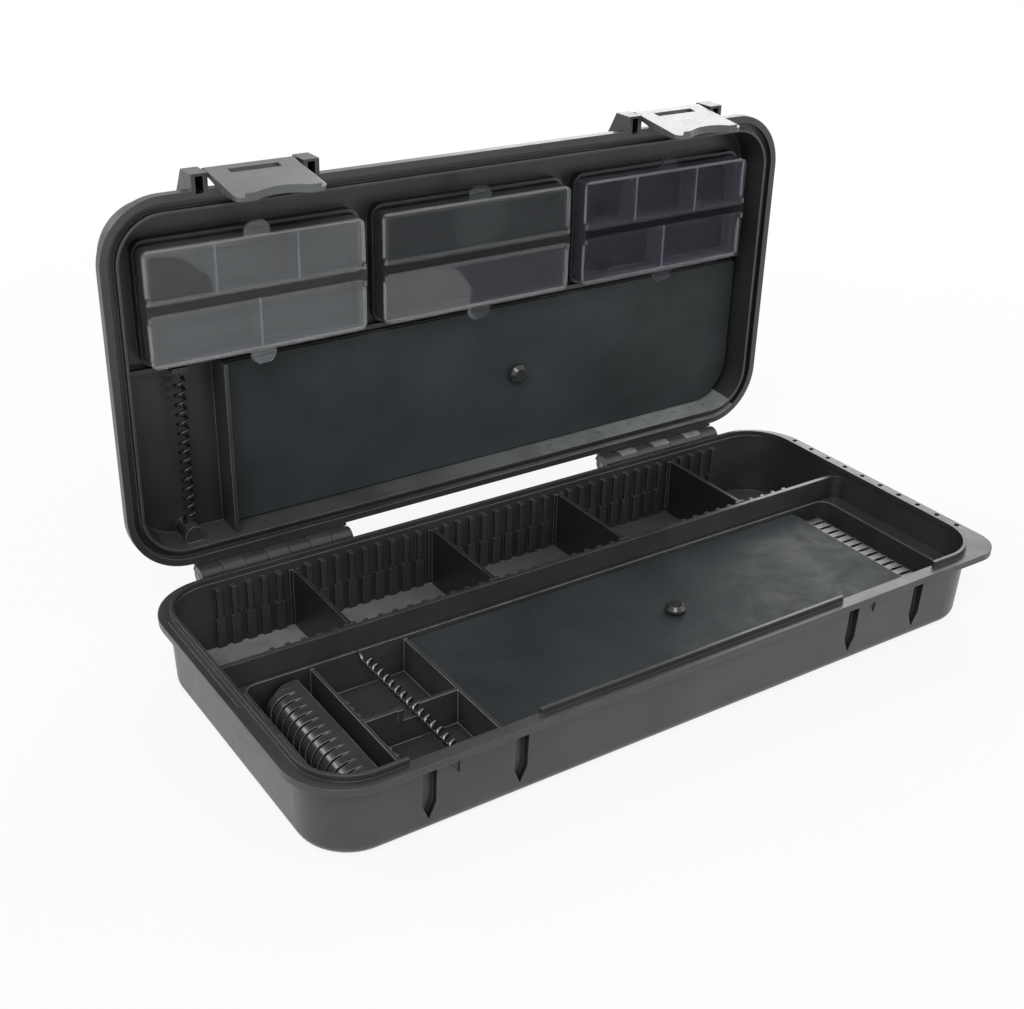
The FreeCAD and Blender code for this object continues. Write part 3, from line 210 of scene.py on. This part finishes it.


# Moulded skin and painted shade: slow mottling, fine grain, and painted shade that darkens inside corners and
# recesses where ambient occlusion finds them
def makeSkinGroup(look):
    group, given, out = newGroup(
        "moulded_skin_and_painted_shade", {"Tone": (0.05, 0.05, 0.05), "Light": (0.1, 0.1, 0.1), "Painted Shade": (0.01, 0.01, 0.01),
                         "Mottle Size": 0.03, "Grain Size": 0.0004, "Shade Distance": 0.02,
                         "Rough Low": 0.35, "Rough High": 0.5},
        {"Color": "Color", "Roughness": "Float", "Height": "Float"})
    place = space(group)
    slow = noise(group, place, sums(group, "DIVIDE", 1.0, given["Mottle Size"]), *look["slow"])
    fine = noise(group, place, sums(group, "DIVIDE", 1.0, given["Grain Size"]), *look["fine"])
    flow = noise(group, place, sums(group, "DIVIDE", look["flowShare"], given["Mottle Size"]), *look["flow"])
    unshadedShare = addNode(group, "ShaderNodeAmbientOcclusion", {"Distance": given["Shade Distance"]},
                       samples=look["rays"], only_local=True).outputs["AO"]
    tinted = mixed(group, ranged(group, slow, *look["slowRange"]), given["Tone"], given["Light"])
    # painted shade: the Deep tone is mixed in where ambient occlusion finds corners and recesses
    shaded = mixed(group, ranged(group, unshadedShare, *look["paintedShadeRange"]), given["Painted Shade"], tinted)
    speckled = mixed(group, ranged(group, fine, *look["speckRange"]), shaded, given["Light"])
    group.links.new(speckled, out["Color"])
    span = sums(group, "SUBTRACT", given["Rough High"], given["Rough Low"])
    rough = sums(group, "MULTIPLY_ADD", ranged(group, flow, *look["flowRange"]), span, given["Rough Low"])
    group.links.new(rough, out["Roughness"])
    group.links.new(fine, out["Height"])
    return group


# Smears left by hands and cloths: stretched, swirling and soft
def makeSmearGroup(look):
    group, given, out = newGroup("hand_smears", {"Size": 0.03, "Amount": 0.5}, {"Mask": "Float"})
    place = space(group)
    scale = sums(group, "DIVIDE", 1.0, given["Size"])
    broad = ranged(group, noise(group, place, scale, *look["broad"]), *look["broadRange"])
    stretched = addNode(group, "ShaderNodeMapping", {"Vector": place, "Rotation": look["turn"],
                                                     "Scale": look["stretch"]}).outputs[0]
    wiped = ranged(group, noise(group, stretched, scale, *look["wiped"]), *look["wipedRange"])
    both = sums(group, "MULTIPLY", broad, wiped)
    group.links.new(sums(group, "MULTIPLY", both, given["Amount"]), out["Mask"])
    return group


# Dust that settles on faces that look up when the box stands open
def makeDustGroup(look):
    group, given, out = newGroup("settled_dust", {"Amount": 0.05}, {"Mask": "Float"})
    place, up = space(group), axes(group, space(group, "Normal"))["Z"]
    specks = ranged(group, noise(group, place, look["speckScale"], *look["specks"]), *look["speckRange"])
    drift = ranged(group, noise(group, place, look["driftScale"], *look["drift"]), *look["driftRange"])
    lying = sums(group, "MULTIPLY", ranged(group, up, *look["upRange"]), specks)
    lying = sums(group, "MULTIPLY", lying, drift)
    group.links.new(sums(group, "MULTIPLY", lying, given["Amount"]), out["Mask"])
    return group


# Band along the inside of a rectangle's edges, seen along the Y axis, with the rectangle in millimetres; it
# carries the clear lids' painted rim highlight
def makeBandGroup(look):
    group, given, out = newGroup("border_band", {"Left": 0.0, "Right": 1.0, "Bottom": 0.0, "Top": 1.0,
                                                 "Width": 2.0}, {"Mask": "Float"})
    place = axes(group, space(group))

    def nearest(axis, low, high):
        along = sums(group, "DIVIDE", place[axis], millimetre)
        return sums(group, "MINIMUM", sums(group, "SUBTRACT", along, given[low]),
                    sums(group, "SUBTRACT", given[high], along))

    near = sums(group, "MINIMUM", nearest("X", "Left", "Right"), nearest("Z", "Bottom", "Top"))
    inner = sums(group, "LESS_THAN", near, given["Width"])
    outer = sums(group, "GREATER_THAN", near, -look["outsideMm"])
    group.links.new(sums(group, "MULTIPLY", inner, outer), out["Mask"])
    return group


# Faces of clear walls: their rims towards the opening, but for the middle strip, which get a painted
# highlight, and their sides
def makeWallGroup(look):
    group, given, out = newGroup("clear_walls", {"Face": 92.75, "Strip Z": 0.0, "Strip Half": 3.0},
                                 {"Rim": "Float", "Side": "Float"})
    towards, place = axes(group, space(group, "Normal"))["Y"], axes(group, space(group))
    front = sums(group, "LESS_THAN", sums(group, "DIVIDE", place["Y"], millimetre),
                 sums(group, "ADD", given["Face"], look["slackMm"]))
    facing = sums(group, "LESS_THAN", towards, look["facing"])
    fromStrip = sums(group, "SUBTRACT", sums(group, "DIVIDE", place["Z"], millimetre), given["Strip Z"])
    offStrip = sums(group, "GREATER_THAN", sums(group, "ABSOLUTE", fromStrip), given["Strip Half"])
    group.links.new(sums(group, "MULTIPLY", offStrip, sums(group, "MULTIPLY", front, facing)), out["Rim"])
    group.links.new(sums(group, "LESS_THAN", sums(group, "ABSOLUTE", towards), look["side"]), out["Side"])
    return group


# Painted floor light: faces that look up below a height are painted lighter, more so towards one end, as a
# pool of light
def makeFloorGroup(look):
    group, given, out = newGroup("painted_floor_light", {"Height": 0.003, "From X": 0.06, "To X": -0.15},
                                 {"Mask": "Float"})
    place = space(group)
    parts, up = axes(group, place), axes(group, space(group, "Normal"))["Z"]
    low = sums(group, "MULTIPLY", sums(group, "GREATER_THAN", up, look["up"]),
               sums(group, "LESS_THAN", parts["Z"], given["Height"]))
    end = ranged(group, parts["X"], given["From X"], given["To X"], *look["endRange"])
    floorLightPatches = ranged(group, noise(group, place, look["scale"], *look["floorLightPatches"]), *look["floorLightPatchRange"])
    share = sums(group, "MULTIPLY", end, floorLightPatches)
    group.links.new(sums(group, "MULTIPLY", low, share), out["Mask"])
    return group


# Painted reflection patch: the inside of a wobbly circle in the plane of the box lids
def makeClingGroup(look):
    group, given, out = newGroup("painted_reflection_patch", {"Middle X": 0.0, "Middle Z": 0.0, "Reach": 0.0,
                                                "Wobble": 0.01}, {"Mask": "Float"})
    place = space(group)
    parts = axes(group, place)

    def squared(axis):
        away = sums(group, "SUBTRACT", parts[axis], given["Middle " + axis])
        return sums(group, "MULTIPLY", away, away)

    away = sums(group, "SQRT", sums(group, "ADD", squared("X"), squared("Z")))
    wave = sums(group, "SUBTRACT", noise(group, place, look["scale"], *look["wave"]), look["waveMiddle"])
    inside = sums(group, "ADD", sums(group, "SUBTRACT", given["Reach"], away),
                  sums(group, "MULTIPLY", wave, given["Wobble"]))
    group.links.new(ranged(group, inside, -look["soft"], look["soft"]), out["Mask"])
    return group


edgeGroup, skinAndShadeGroup = makeEdgeGroup(edgeEffect), makeSkinGroup(skinAndShadeEffect)
smearGroup, dustGroup = makeSmearGroup(smearEffect), makeDustGroup(dustEffect)
floorLightGroup, bandGroup = makeFloorGroup(floorLightEffect), makeBandGroup(bandEffect)
wallGroup, reflectionPatchGroup = makeWallGroup(wallEffect), makeClingGroup(reflectionPatchEffect)
print("shared effects ready")


def newMaterial(name):
    material = bpy.data.materials.new(name)
    material.use_nodes = True
    tree = material.node_tree
    return material, tree, tree.nodes["Principled BSDF"]


def metres(look, name):
    return look[name] * millimetre


def setShader(tree, shader, color, rough, normal, ior):
    tree.links.new(color, shader.inputs["Base Color"])
    tree.links.new(rough, shader.inputs["Roughness"])
    tree.links.new(normal, shader.inputs["Normal"])
    shader.inputs["IOR"].default_value = ior


def skinAndEdge(tree, look, paintedShadeTone, shadeDistanceKey):
    skinAndShade = useGroup(tree, skinAndShadeGroup, {
        "Tone": look["tone"], "Light": look["light"], "Painted Shade": look[paintedShadeTone],
        "Mottle Size": metres(look, "mottleMm"), "Grain Size": metres(look, "grainMm"),
        "Shade Distance": metres(look, shadeDistanceKey), "Rough Low": look["roughLow"], "Rough High": look["roughHigh"]})
    edge = useGroup(tree, edgeGroup, {"Radius": metres(look, "edgeMm")})
    wornAndHighlit = sums(tree, "MULTIPLY", edge["Mask"], look["edgeAmount"])
    bump = addNode(tree, "ShaderNodeBump", {"Height": skinAndShade["Height"], "Normal": edge["Normal"],
                                            "Distance": metres(look, "grainDepthMm")})
    return skinAndShade, wornAndHighlit, bump.outputs[0]


def mouldedPlastic(name, look):
    material, tree, shader = newMaterial(name)
    skinAndShade, wornAndHighlit, normal = skinAndEdge(tree, look, "paintedShadeTone", "paintedShadeMm")
    dust = useGroup(tree, dustGroup, {"Amount": look["dust"]})
    floorLightPatches = useGroup(tree, floorLightGroup, {"Height": metres(look, "floorMm"),
                                         "From X": metres(look, "floorFromMm"),
                                         "To X": metres(look, "floorToMm")})
    # painted floor light on the low faces that look up
    color = mixed(tree, floorLightPatches["Mask"], skinAndShade["Color"], look["floorLitTone"])
    # edges painted lighter, both as wear and as painted highlight
    color = mixed(tree, wornAndHighlit, color, look["edgeWearHighlight"])
    color = mixed(tree, dust["Mask"], color, dustEffect["tone"])
    setShader(tree, shader, color, skinAndShade["Roughness"], normal, look["ior"])
    return material


def coverSheet(name, look):
    material, tree, shader = newMaterial(name)
    skinAndShade, wornAndHighlit, normal = skinAndEdge(tree, look, "tone", "edgeMm")
    smear = useGroup(tree, smearGroup, {"Size": metres(look, "smudgeMm"), "Amount": look["smearAmount"]})
    color = mixed(tree, smear["Mask"], skinAndShade["Color"], look["light"])
    color = mixed(tree, wornAndHighlit, color, look["edgeWearHighlight"])
    gloss = sums(tree, "MULTIPLY", smear["Mask"], look["smearGloss"])
    rough = sums(tree, "SUBTRACT", skinAndShade["Roughness"], gloss)
    setShader(tree, shader, color, rough, normal, look["ior"])
    return material


def wireMetal(name, look, metallic):
    material, tree, shader = newMaterial(name)
    drawn = noise(tree, space(tree), 1 / metres(look, "lineMm"), *look["drawn"])
    rough = ranged(tree, drawn, *look["roughRange"], look["rough"] + look["roughSpread"], look["rough"])
    bump = addNode(tree, "ShaderNodeBump", {"Height": drawn, "Distance": metres(look, "lineDepthMm")})
    tree.links.new(mixed(tree, ranged(tree, drawn, *look["toneRange"]), look["dark"], look["tone"]),
                   shader.inputs["Base Color"])
    tree.links.new(rough, shader.inputs["Roughness"])
    tree.links.new(bump.outputs[0], shader.inputs["Normal"])
    shader.inputs["Metallic"].default_value = metallic
    return material


def clearPlastic(name, look, band=None):
    # a tray's walls, or a lid whose border band is given as its rectangle in millimetres
    material, tree, shader = newMaterial(name)
    edge = useGroup(tree, edgeGroup, {"Radius": metres(look, "edgeMm")})
    cloud = noise(tree, space(tree), 1 / metres(look, "roughMm"), *look["cloud"])
    if band:
        rim = useGroup(tree, bandGroup, dict(band, Width=look["bandMm"]))["Mask"]
        corners = zip(look["reflectionPatchAt"], (band["Left"], band["Bottom"]), (band["Right"], band["Top"]))
        middle = [(low + share * (high - low)) * millimetre for share, low, high in corners]
        # painted reflection patch of another tint on each clear lid
        reflectionPatch = useGroup(tree, reflectionPatchGroup, {"Middle X": middle[0], "Middle Z": middle[1],
                                            "Reach": metres(look, "reachMm"),
                                            "Wobble": metres(look, "wobbleMm")})["Mask"]
        color = mixed(tree, reflectionPatch, look["flat"], look["reflectionPatchTone"])
    else:
        walls = useGroup(tree, wallGroup, {"Face": look["faceMm"], "Strip Z": look["stripZMm"],
                                           "Strip Half": look["stripHalfMm"]})
        color = mixed(tree, walls["Side"], look["flat"], look["wall"])
        rim = walls["Rim"]
    # painted highlight: rims, border bands and edges take the near-white rim tone
    color = mixed(tree, rim, color, look["rim"])
    color = mixed(tree, sums(tree, "MULTIPLY", edge["Mask"], look["edgeAmount"]), color, look["rim"])
    rough = ranged(tree, cloud, *look["cloudRange"], look["roughHigh"], look["roughLow"])
    setShader(tree, shader, color, rough, edge["Normal"], look["ior"])
    shader.inputs["Transmission Weight"].default_value = 1 - look["milk"]
    return material


plasticLooks = {"shell": shellLook, "lid": lidLook, "tray": trayLook, "divider": dividerShadeLook,
                "hinge": hingeShadeLook, "latch": latchLook, "knob": knobLook, "numeral": numeralLook}
materials = {finish: mouldedPlastic(finish + "_plastic", look) for finish, look in plasticLooks.items()}
materials["cover"] = coverSheet("cover_sheet", coverLook)
materials["steel"] = wireMetal("drawn_steel", steelLook, 1.0)
materials["blackWire"] = wireMetal("black_wire", blackWireLook, 0.0)
boxTabMm = 6
for number, look in trayLooks.items():
    low, high = (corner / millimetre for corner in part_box(f"box_tray_{number}"))
    look = dict(look, stripZMm=(low.z + high.z) / 2)
    materials[f"box_tray_{number}"] = clearPlastic(f"clear_tray_{number}", look)
for name, look in filmLooks.items():
    low, high = (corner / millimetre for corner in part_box(name))
    bottom, top = (low.z, high.z - boxTabMm) if "upper" in name else (low.z + boxTabMm, high.z)
    band = {"Left": low.x, "Right": high.x, "Bottom": bottom, "Top": top}
    materials[name] = clearPlastic(name.replace("box", "clear"), look, band)
print("materials ready:", len(materials))

# Which nodes have which finish; a box has its own by name, and the rest is shell
finishNodes = {"lid": ("lid_shell",), "tray": ("front_tray",), "blackWire": ("lid_hook_spring",),
               "latch": ("latch_flap_left", "latch_flap_right"),
               "cover": ("base_cover_plate", "lid_cover_plate"),
               "knob": ("base_cover_knob", "lid_cover_knob"),
               "divider": ("divider_1", "divider_2", "divider_3", "divider_4"),
               "steel": ("base_hook_spring", "hinge_pin_left", "hinge_pin_right", "latch_pin_left",
                         "latch_pin_right")}
finishes = {name: finish for finish, names in finishNodes.items() for name in names}
for name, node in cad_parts.items():
    finish = name if name.startswith("box_") else finishes.get(name, "shell")
    node.data.materials.clear()
    node.data.materials.append(materials[finish])
print("finishes given to the frame's nodes")


def newPiece(name, mesh, finish):
    piece = bpy.data.objects.new(name, mesh)
    bpy.context.scene.collection.objects.link(piece)
    mesh.materials.clear()
    mesh.materials.append(materials[finish])
    return piece


def curveMesh(name, curve):
    # the mesh of a curve, whose own object is taken away again
    carrier = bpy.data.objects.new(name, curve)
    bpy.context.scene.collection.objects.link(carrier)
    bpy.context.view_layer.update()
    mesh = bpy.data.meshes.new_from_object(carrier.evaluated_get(bpy.context.evaluated_depsgraph_get()))
    bpy.data.objects.remove(carrier)
    return mesh


# Springs of round wire, wound along the frame's own springs, with both ends turned to run along the axis
springLooks = {
    "base_hook_spring": {"piece": "base_coil_wire", "body": "base", "slot": "bright_spring",
                         "finish": "steel", "axis": (0, 1, 0), "second": (0, 0, -1),
                         "centreMm": (-105.4, -70.3, 20), "spanMm": 84.4, "radiusMm": 1.65, "wireMm": 1.5,
                         "pitchMm": 4.55},
    "lid_hook_spring": {"piece": "lid_coil_wire", "body": "lid", "slot": "black_spring",
                        "finish": "blackWire", "axis": (0, 0, -1), "second": (0, -1, 0),
                        "centreMm": (-142.5, 98, 124), "spanMm": 70.8, "radiusMm": 2.0, "wireMm": 1.5,
                        "pitchMm": 4.2},
}
windingLook = {"stepTurns": 0.5, "bendShare": 1.2, "endGapMm": 0.05, "pointsPerTurn": 20, "bendPoints": 5,
               "bevelRounds": 3, "fitRounds": 8}


def windingPoints(look, winding):
    # the wire's middle line in local millimetres: a straight tail, a bend, the helix, a bend and a head
    radius, wire, bend = look["radiusMm"], look["wireMm"], winding["bendShare"] * look["wireMm"]

    def room(rise):
        slope = rise / math.hypot(math.tau * radius, rise)
        return look["spanMm"] - 2 * (wire + bend * (1 + slope) + winding["endGapMm"])

    rise = look["pitchMm"]
    turns = math.floor(room(rise) / rise / winding["stepTurns"]) * winding["stepTurns"]
    for _ in range(winding["fitRounds"]):
        rise = room(rise) / turns
    count = round(turns * winding["pointsPerTurn"])
    helix = []
    for index in range(count + 1):
        turned = turns * index / count
        angle = math.tau * turned
        helix.append(Vector((radius * math.cos(angle), radius * math.sin(angle), rise * turned)))
    lean = Vector((0, math.tau * radius, rise)).normalized() * bend
    along = Vector((0, 0, 1))
    endLean = Matrix.Rotation(math.tau * turns, 3, "Z") @ lean
    firstCorner, lastCorner = helix[0] - lean, helix[-1] + endLean
    foot, head = firstCorner - along * bend, lastCorner + along * bend

    def bent(start, corner, end):
        shares = [index / winding["bendPoints"] for index in range(1, winding["bendPoints"])]
        return [start * (1 - t) ** 2 + corner * 2 * t * (1 - t) + end * t ** 2 for t in shares]

    points = ([foot - along * wire, foot] + bent(foot, firstCorner, helix[0]) + helix
              + bent(helix[-1], lastCorner, head) + [head, head + along * wire])
    low, high = points[0].z, points[-1].z
    shift = (look["spanMm"] - (high - low)) / 2 - low
    return [point + along * shift for point in points]


def makeSpring(node, look, winding):
    axis, second = Vector(look["axis"]), Vector(look["second"])
    first = second.cross(axis)
    centre = Vector(look["centreMm"])
    line = bpy.data.curves.new(look["piece"], "CURVE")
    line.dimensions = "3D"
    line.bevel_depth, line.bevel_resolution = metres(look, "wireMm") / 2, winding["bevelRounds"]
    line.use_fill_caps = True
    points = windingPoints(look, winding)
    spline = line.splines.new("POLY")
    spline.points.add(len(points) - 1)
    for controlPoint, point in zip(spline.points, points):
        place = (centre + first * point.x + second * point.y + axis * point.z) * millimetre
        controlPoint.co = (*place, 1)
    mesh = curveMesh(look["piece"] + "_line", line)
    mesh.name = look["piece"]
    mesh.shade_smooth()
    spring = newPiece(look["piece"], mesh, look["finish"])
    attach(spring, look["body"])
    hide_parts(node)


for node, look in springLooks.items():
    makeSpring(node, look, windingLook)
print("springs wound")

# Hinge covers: curved strips of the lid that wrap the back of each hinge's knuckles, in a near-black tone
# that paints the shade there
coverStrip = {"hingeXMm": 108.7, "axisYMm": 86.8, "axisZMm": 32.4, "halfMm": 36.6, "innerMm": 5.0,
              "outerMm": 5.75, "topDegrees": 28, "foldDegrees": 50, "endDegrees": 78, "steps": 10,
              "rimZMm": 38.25, "rimYMm": (89.5, 91.2)}


def makeHingeCover(name, middleMm, look):
    def arc(radius, start, end):
        points = []
        for step in range(look["steps"] + 1):
            turn = math.radians(start + (end - start) * step / look["steps"])
            points.append((look["axisYMm"] + radius * math.sin(turn),
                           look["axisZMm"] + radius * math.cos(turn)))
        return points

    outline = (arc(look["innerMm"], look["endDegrees"], look["topDegrees"])
               + [(y, look["rimZMm"]) for y in look["rimYMm"]]
               + arc(look["outerMm"], look["foldDegrees"], look["endDegrees"]))
    strip = bmesh.new()
    rows = []
    for side in (-1, 1):
        x = middleMm + side * look["halfMm"]
        rows.append([strip.verts.new(Vector((x, y, z)) * millimetre) for y, z in outline])
    strip.faces.new(rows[0])
    strip.faces.new(list(reversed(rows[1])))
    for index in range(len(outline)):
        after = (index + 1) % len(outline)
        strip.faces.new((rows[0][after], rows[0][index], rows[1][index], rows[1][after]))
    bmesh.ops.recalc_face_normals(strip, faces=strip.faces)
    mesh = bpy.data.meshes.new(name)
    strip.to_mesh(mesh)
    strip.free()
    cover = newPiece(name, mesh, "hinge")
    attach(cover, "lid")


for name, sign in (("hinge_cover_left", -1), ("hinge_cover_right", 1)):
    makeHingeCover(name, sign * coverStrip["hingeXMm"], coverStrip)
print("hinge covers made")

# Ruler numerals raised on the lid's inner wall beside the hinges; the wall is found by a ray from above
rulerNumerals = {"firstX": 0.0455, "pitch": 0.010, "first": 20, "last": 30, "high": 0.0030, "raise": 0.00012,
                 "y": 0.0962, "lift": 0.00002, "curveSteps": 3, "rayX": 0.09, "rayZ": 0.056}


def makeNumerals(look):
    start = Vector((look["rayX"], look["y"], look["rayZ"]))
    _, near, normal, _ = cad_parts["lid_shell"].ray_cast(start, Vector((0, 0, -1)))
    slope = Matrix.Rotation(math.atan2(-normal.y, normal.z), 4, "X")
    joined = bmesh.new()
    for index, number in enumerate(range(look["first"], look["last"] + 1)):
        words = bpy.data.curves.new(f"numeral_{number}", "FONT")
        words.body, words.size, words.extrude = str(number), look["high"], look["raise"]
        words.align_x, words.align_y = "CENTER", "CENTER"
        words.resolution_u = look["curveSteps"]
        mesh = curveMesh(words.name, words)
        x = look["firstX"] + index * look["pitch"]
        mesh.transform(Matrix.Translation((x, near.y, near.z + look["lift"])) @ slope)
        joined.from_mesh(mesh)
    mesh = bpy.data.meshes.new("ruler_numerals")
    joined.to_mesh(mesh)
    joined.free()
    numerals = newPiece("ruler_numerals", mesh, "numeral")
    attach(numerals, "lid")


makeNumerals(rulerNumerals)
print("ruler numerals made")

# Floor, light and camera
floorLook = {"half": 4.0, "color": (0.86, 0.86, 0.86), "rough": 0.9, "specular": 0.1, "fade": (0.30, 0.75),
             "bare": 0.86}
lampAim = (0, 0, 0.08)
lamps = {
    "key": {"place": (-0.75, -0.85, 1.35), "size": 0.8, "power": 14.0},
    "fill": {"place": (1.3, -0.9, 0.8), "size": 1.0, "power": 3.0},
    "back": {"place": (1.15, 1.15, 0.92), "size": 0.95, "power": 10.0},
    "side": {"place": (-1.05, 1.55, 1.10), "size": 0.5, "power": 5.0},
}
worldLook = {"ambient": 0.50, "horizon": (-0.1, 0.5, 0.9, 1.0)}
cameraLook = {"place": (-0.33867, -0.43631, 0.35254), "right": (0.83307, -0.55267, 0.02359),
              "up": (0.23696, 0.39508, 0.88756), "back": (-0.49985, -0.73381, 0.46009),
              "lensPixels": 1450.78, "framePixels": 1024, "sensorMm": 36, "near": 0.01, "far": 20}


def makeFloor(look):
    mesh = bpy.data.meshes.new("floor")
    half = look["half"]
    corners = [(-half, -half, 0), (half, -half, 0), (half, half, 0), (-half, half, 0)]
    mesh.from_pydata(corners, [], [(0, 1, 2, 3)])
    floor = bpy.data.objects.new("floor", mesh)
    bpy.context.scene.collection.objects.link(floor)
    material, tree, shader = newMaterial("pale_floor")
    far = addNode(tree, "ShaderNodeVectorMath", {0: space(tree)}, operation="LENGTH").outputs["Value"]
    path = tree.nodes.new("ShaderNodeLightPath").outputs
    seen = sums(tree, "MAXIMUM", path["Is Camera Ray"], path["Is Glossy Ray"])
    seen = sums(tree, "MAXIMUM", seen, path["Is Transmission Ray"])
    fade = sums(tree, "MULTIPLY_ADD", ranged(tree, far, *look["fade"]), 1 - look["bare"], look["bare"])
    share = sums(tree, "MULTIPLY", fade, seen)
    white = addNode(tree, "ShaderNodeEmission", {"Color": (1, 1, 1, 1), "Strength": 1.0})
    mix = addNode(tree, "ShaderNodeMixShader", {0: share, 1: shader.outputs[0], 2: white.outputs[0]})
    tree.links.new(mix.outputs[0], tree.nodes["Material Output"].inputs["Surface"])
    shader.inputs["Base Color"].default_value = (*look["color"], 1)
    shader.inputs["Roughness"].default_value = look["rough"]
    shader.inputs["Specular IOR Level"].default_value = look["specular"]
    floor.data.materials.append(material)


def makeLamps(lampTable, aim):
    for name, lamp in lampTable.items():
        light = bpy.data.lights.new("lamp_" + name, "AREA")
        light.energy, light.size = lamp["power"], lamp["size"]
        item = bpy.data.objects.new("lamp_" + name, light)
        item.location = lamp["place"]
        item.rotation_euler = (Vector(aim) - Vector(lamp["place"])).to_track_quat("-Z", "Y").to_euler()
        bpy.context.scene.collection.objects.link(item)


def makeWorld(look):
    world = bpy.data.worlds.new("studio")
    world.use_nodes = True
    bpy.context.scene.world = world
    tree = world.node_tree
    path = tree.nodes.new("ShaderNodeLightPath").outputs
    glow = ranged(tree, axes(tree, space(tree, "Generated"))["Z"], *look["horizon"])
    direct = sums(tree, "MAXIMUM", path["Is Camera Ray"], path["Is Transmission Ray"])
    mirrored = sums(tree, "MULTIPLY", path["Is Glossy Ray"], glow)
    plain = sums(tree, "SUBTRACT", 1.0, sums(tree, "MAXIMUM", direct, path["Is Glossy Ray"]))
    strength = sums(tree, "ADD", sums(tree, "MULTIPLY", plain, look["ambient"]),
                    sums(tree, "MAXIMUM", direct, mirrored))
    tree.links.new(strength, tree.nodes["Background"].inputs["Strength"])
    tree.nodes["Background"].inputs["Color"].default_value = (1, 1, 1, 1)


def makeCamera(look):
    lens = bpy.data.cameras.new("camera")
    lens.sensor_fit, lens.sensor_width = "HORIZONTAL", look["sensorMm"]
    lens.lens = look["lensPixels"] / look["framePixels"] * look["sensorMm"]
    lens.clip_start, lens.clip_end = look["near"], look["far"]
    camera = bpy.data.objects.new("camera", lens)
    bpy.context.scene.collection.objects.link(camera)
    columns = [Vector(look[way]) for way in ("right", "up", "back")]
    turn = Matrix([[column[row] for column in columns] for row in range(3)])
    camera.matrix_world = Matrix.Translation(look["place"]) @ turn.to_4x4()
    bpy.context.scene.camera = camera


makeFloor(floorLook)
makeLamps(lamps, lampAim)
makeWorld(worldLook)
makeCamera(cameraLook)
bpy.context.scene.view_settings.view_transform = "Standard"
print("floor, lamps, world and camera ready")
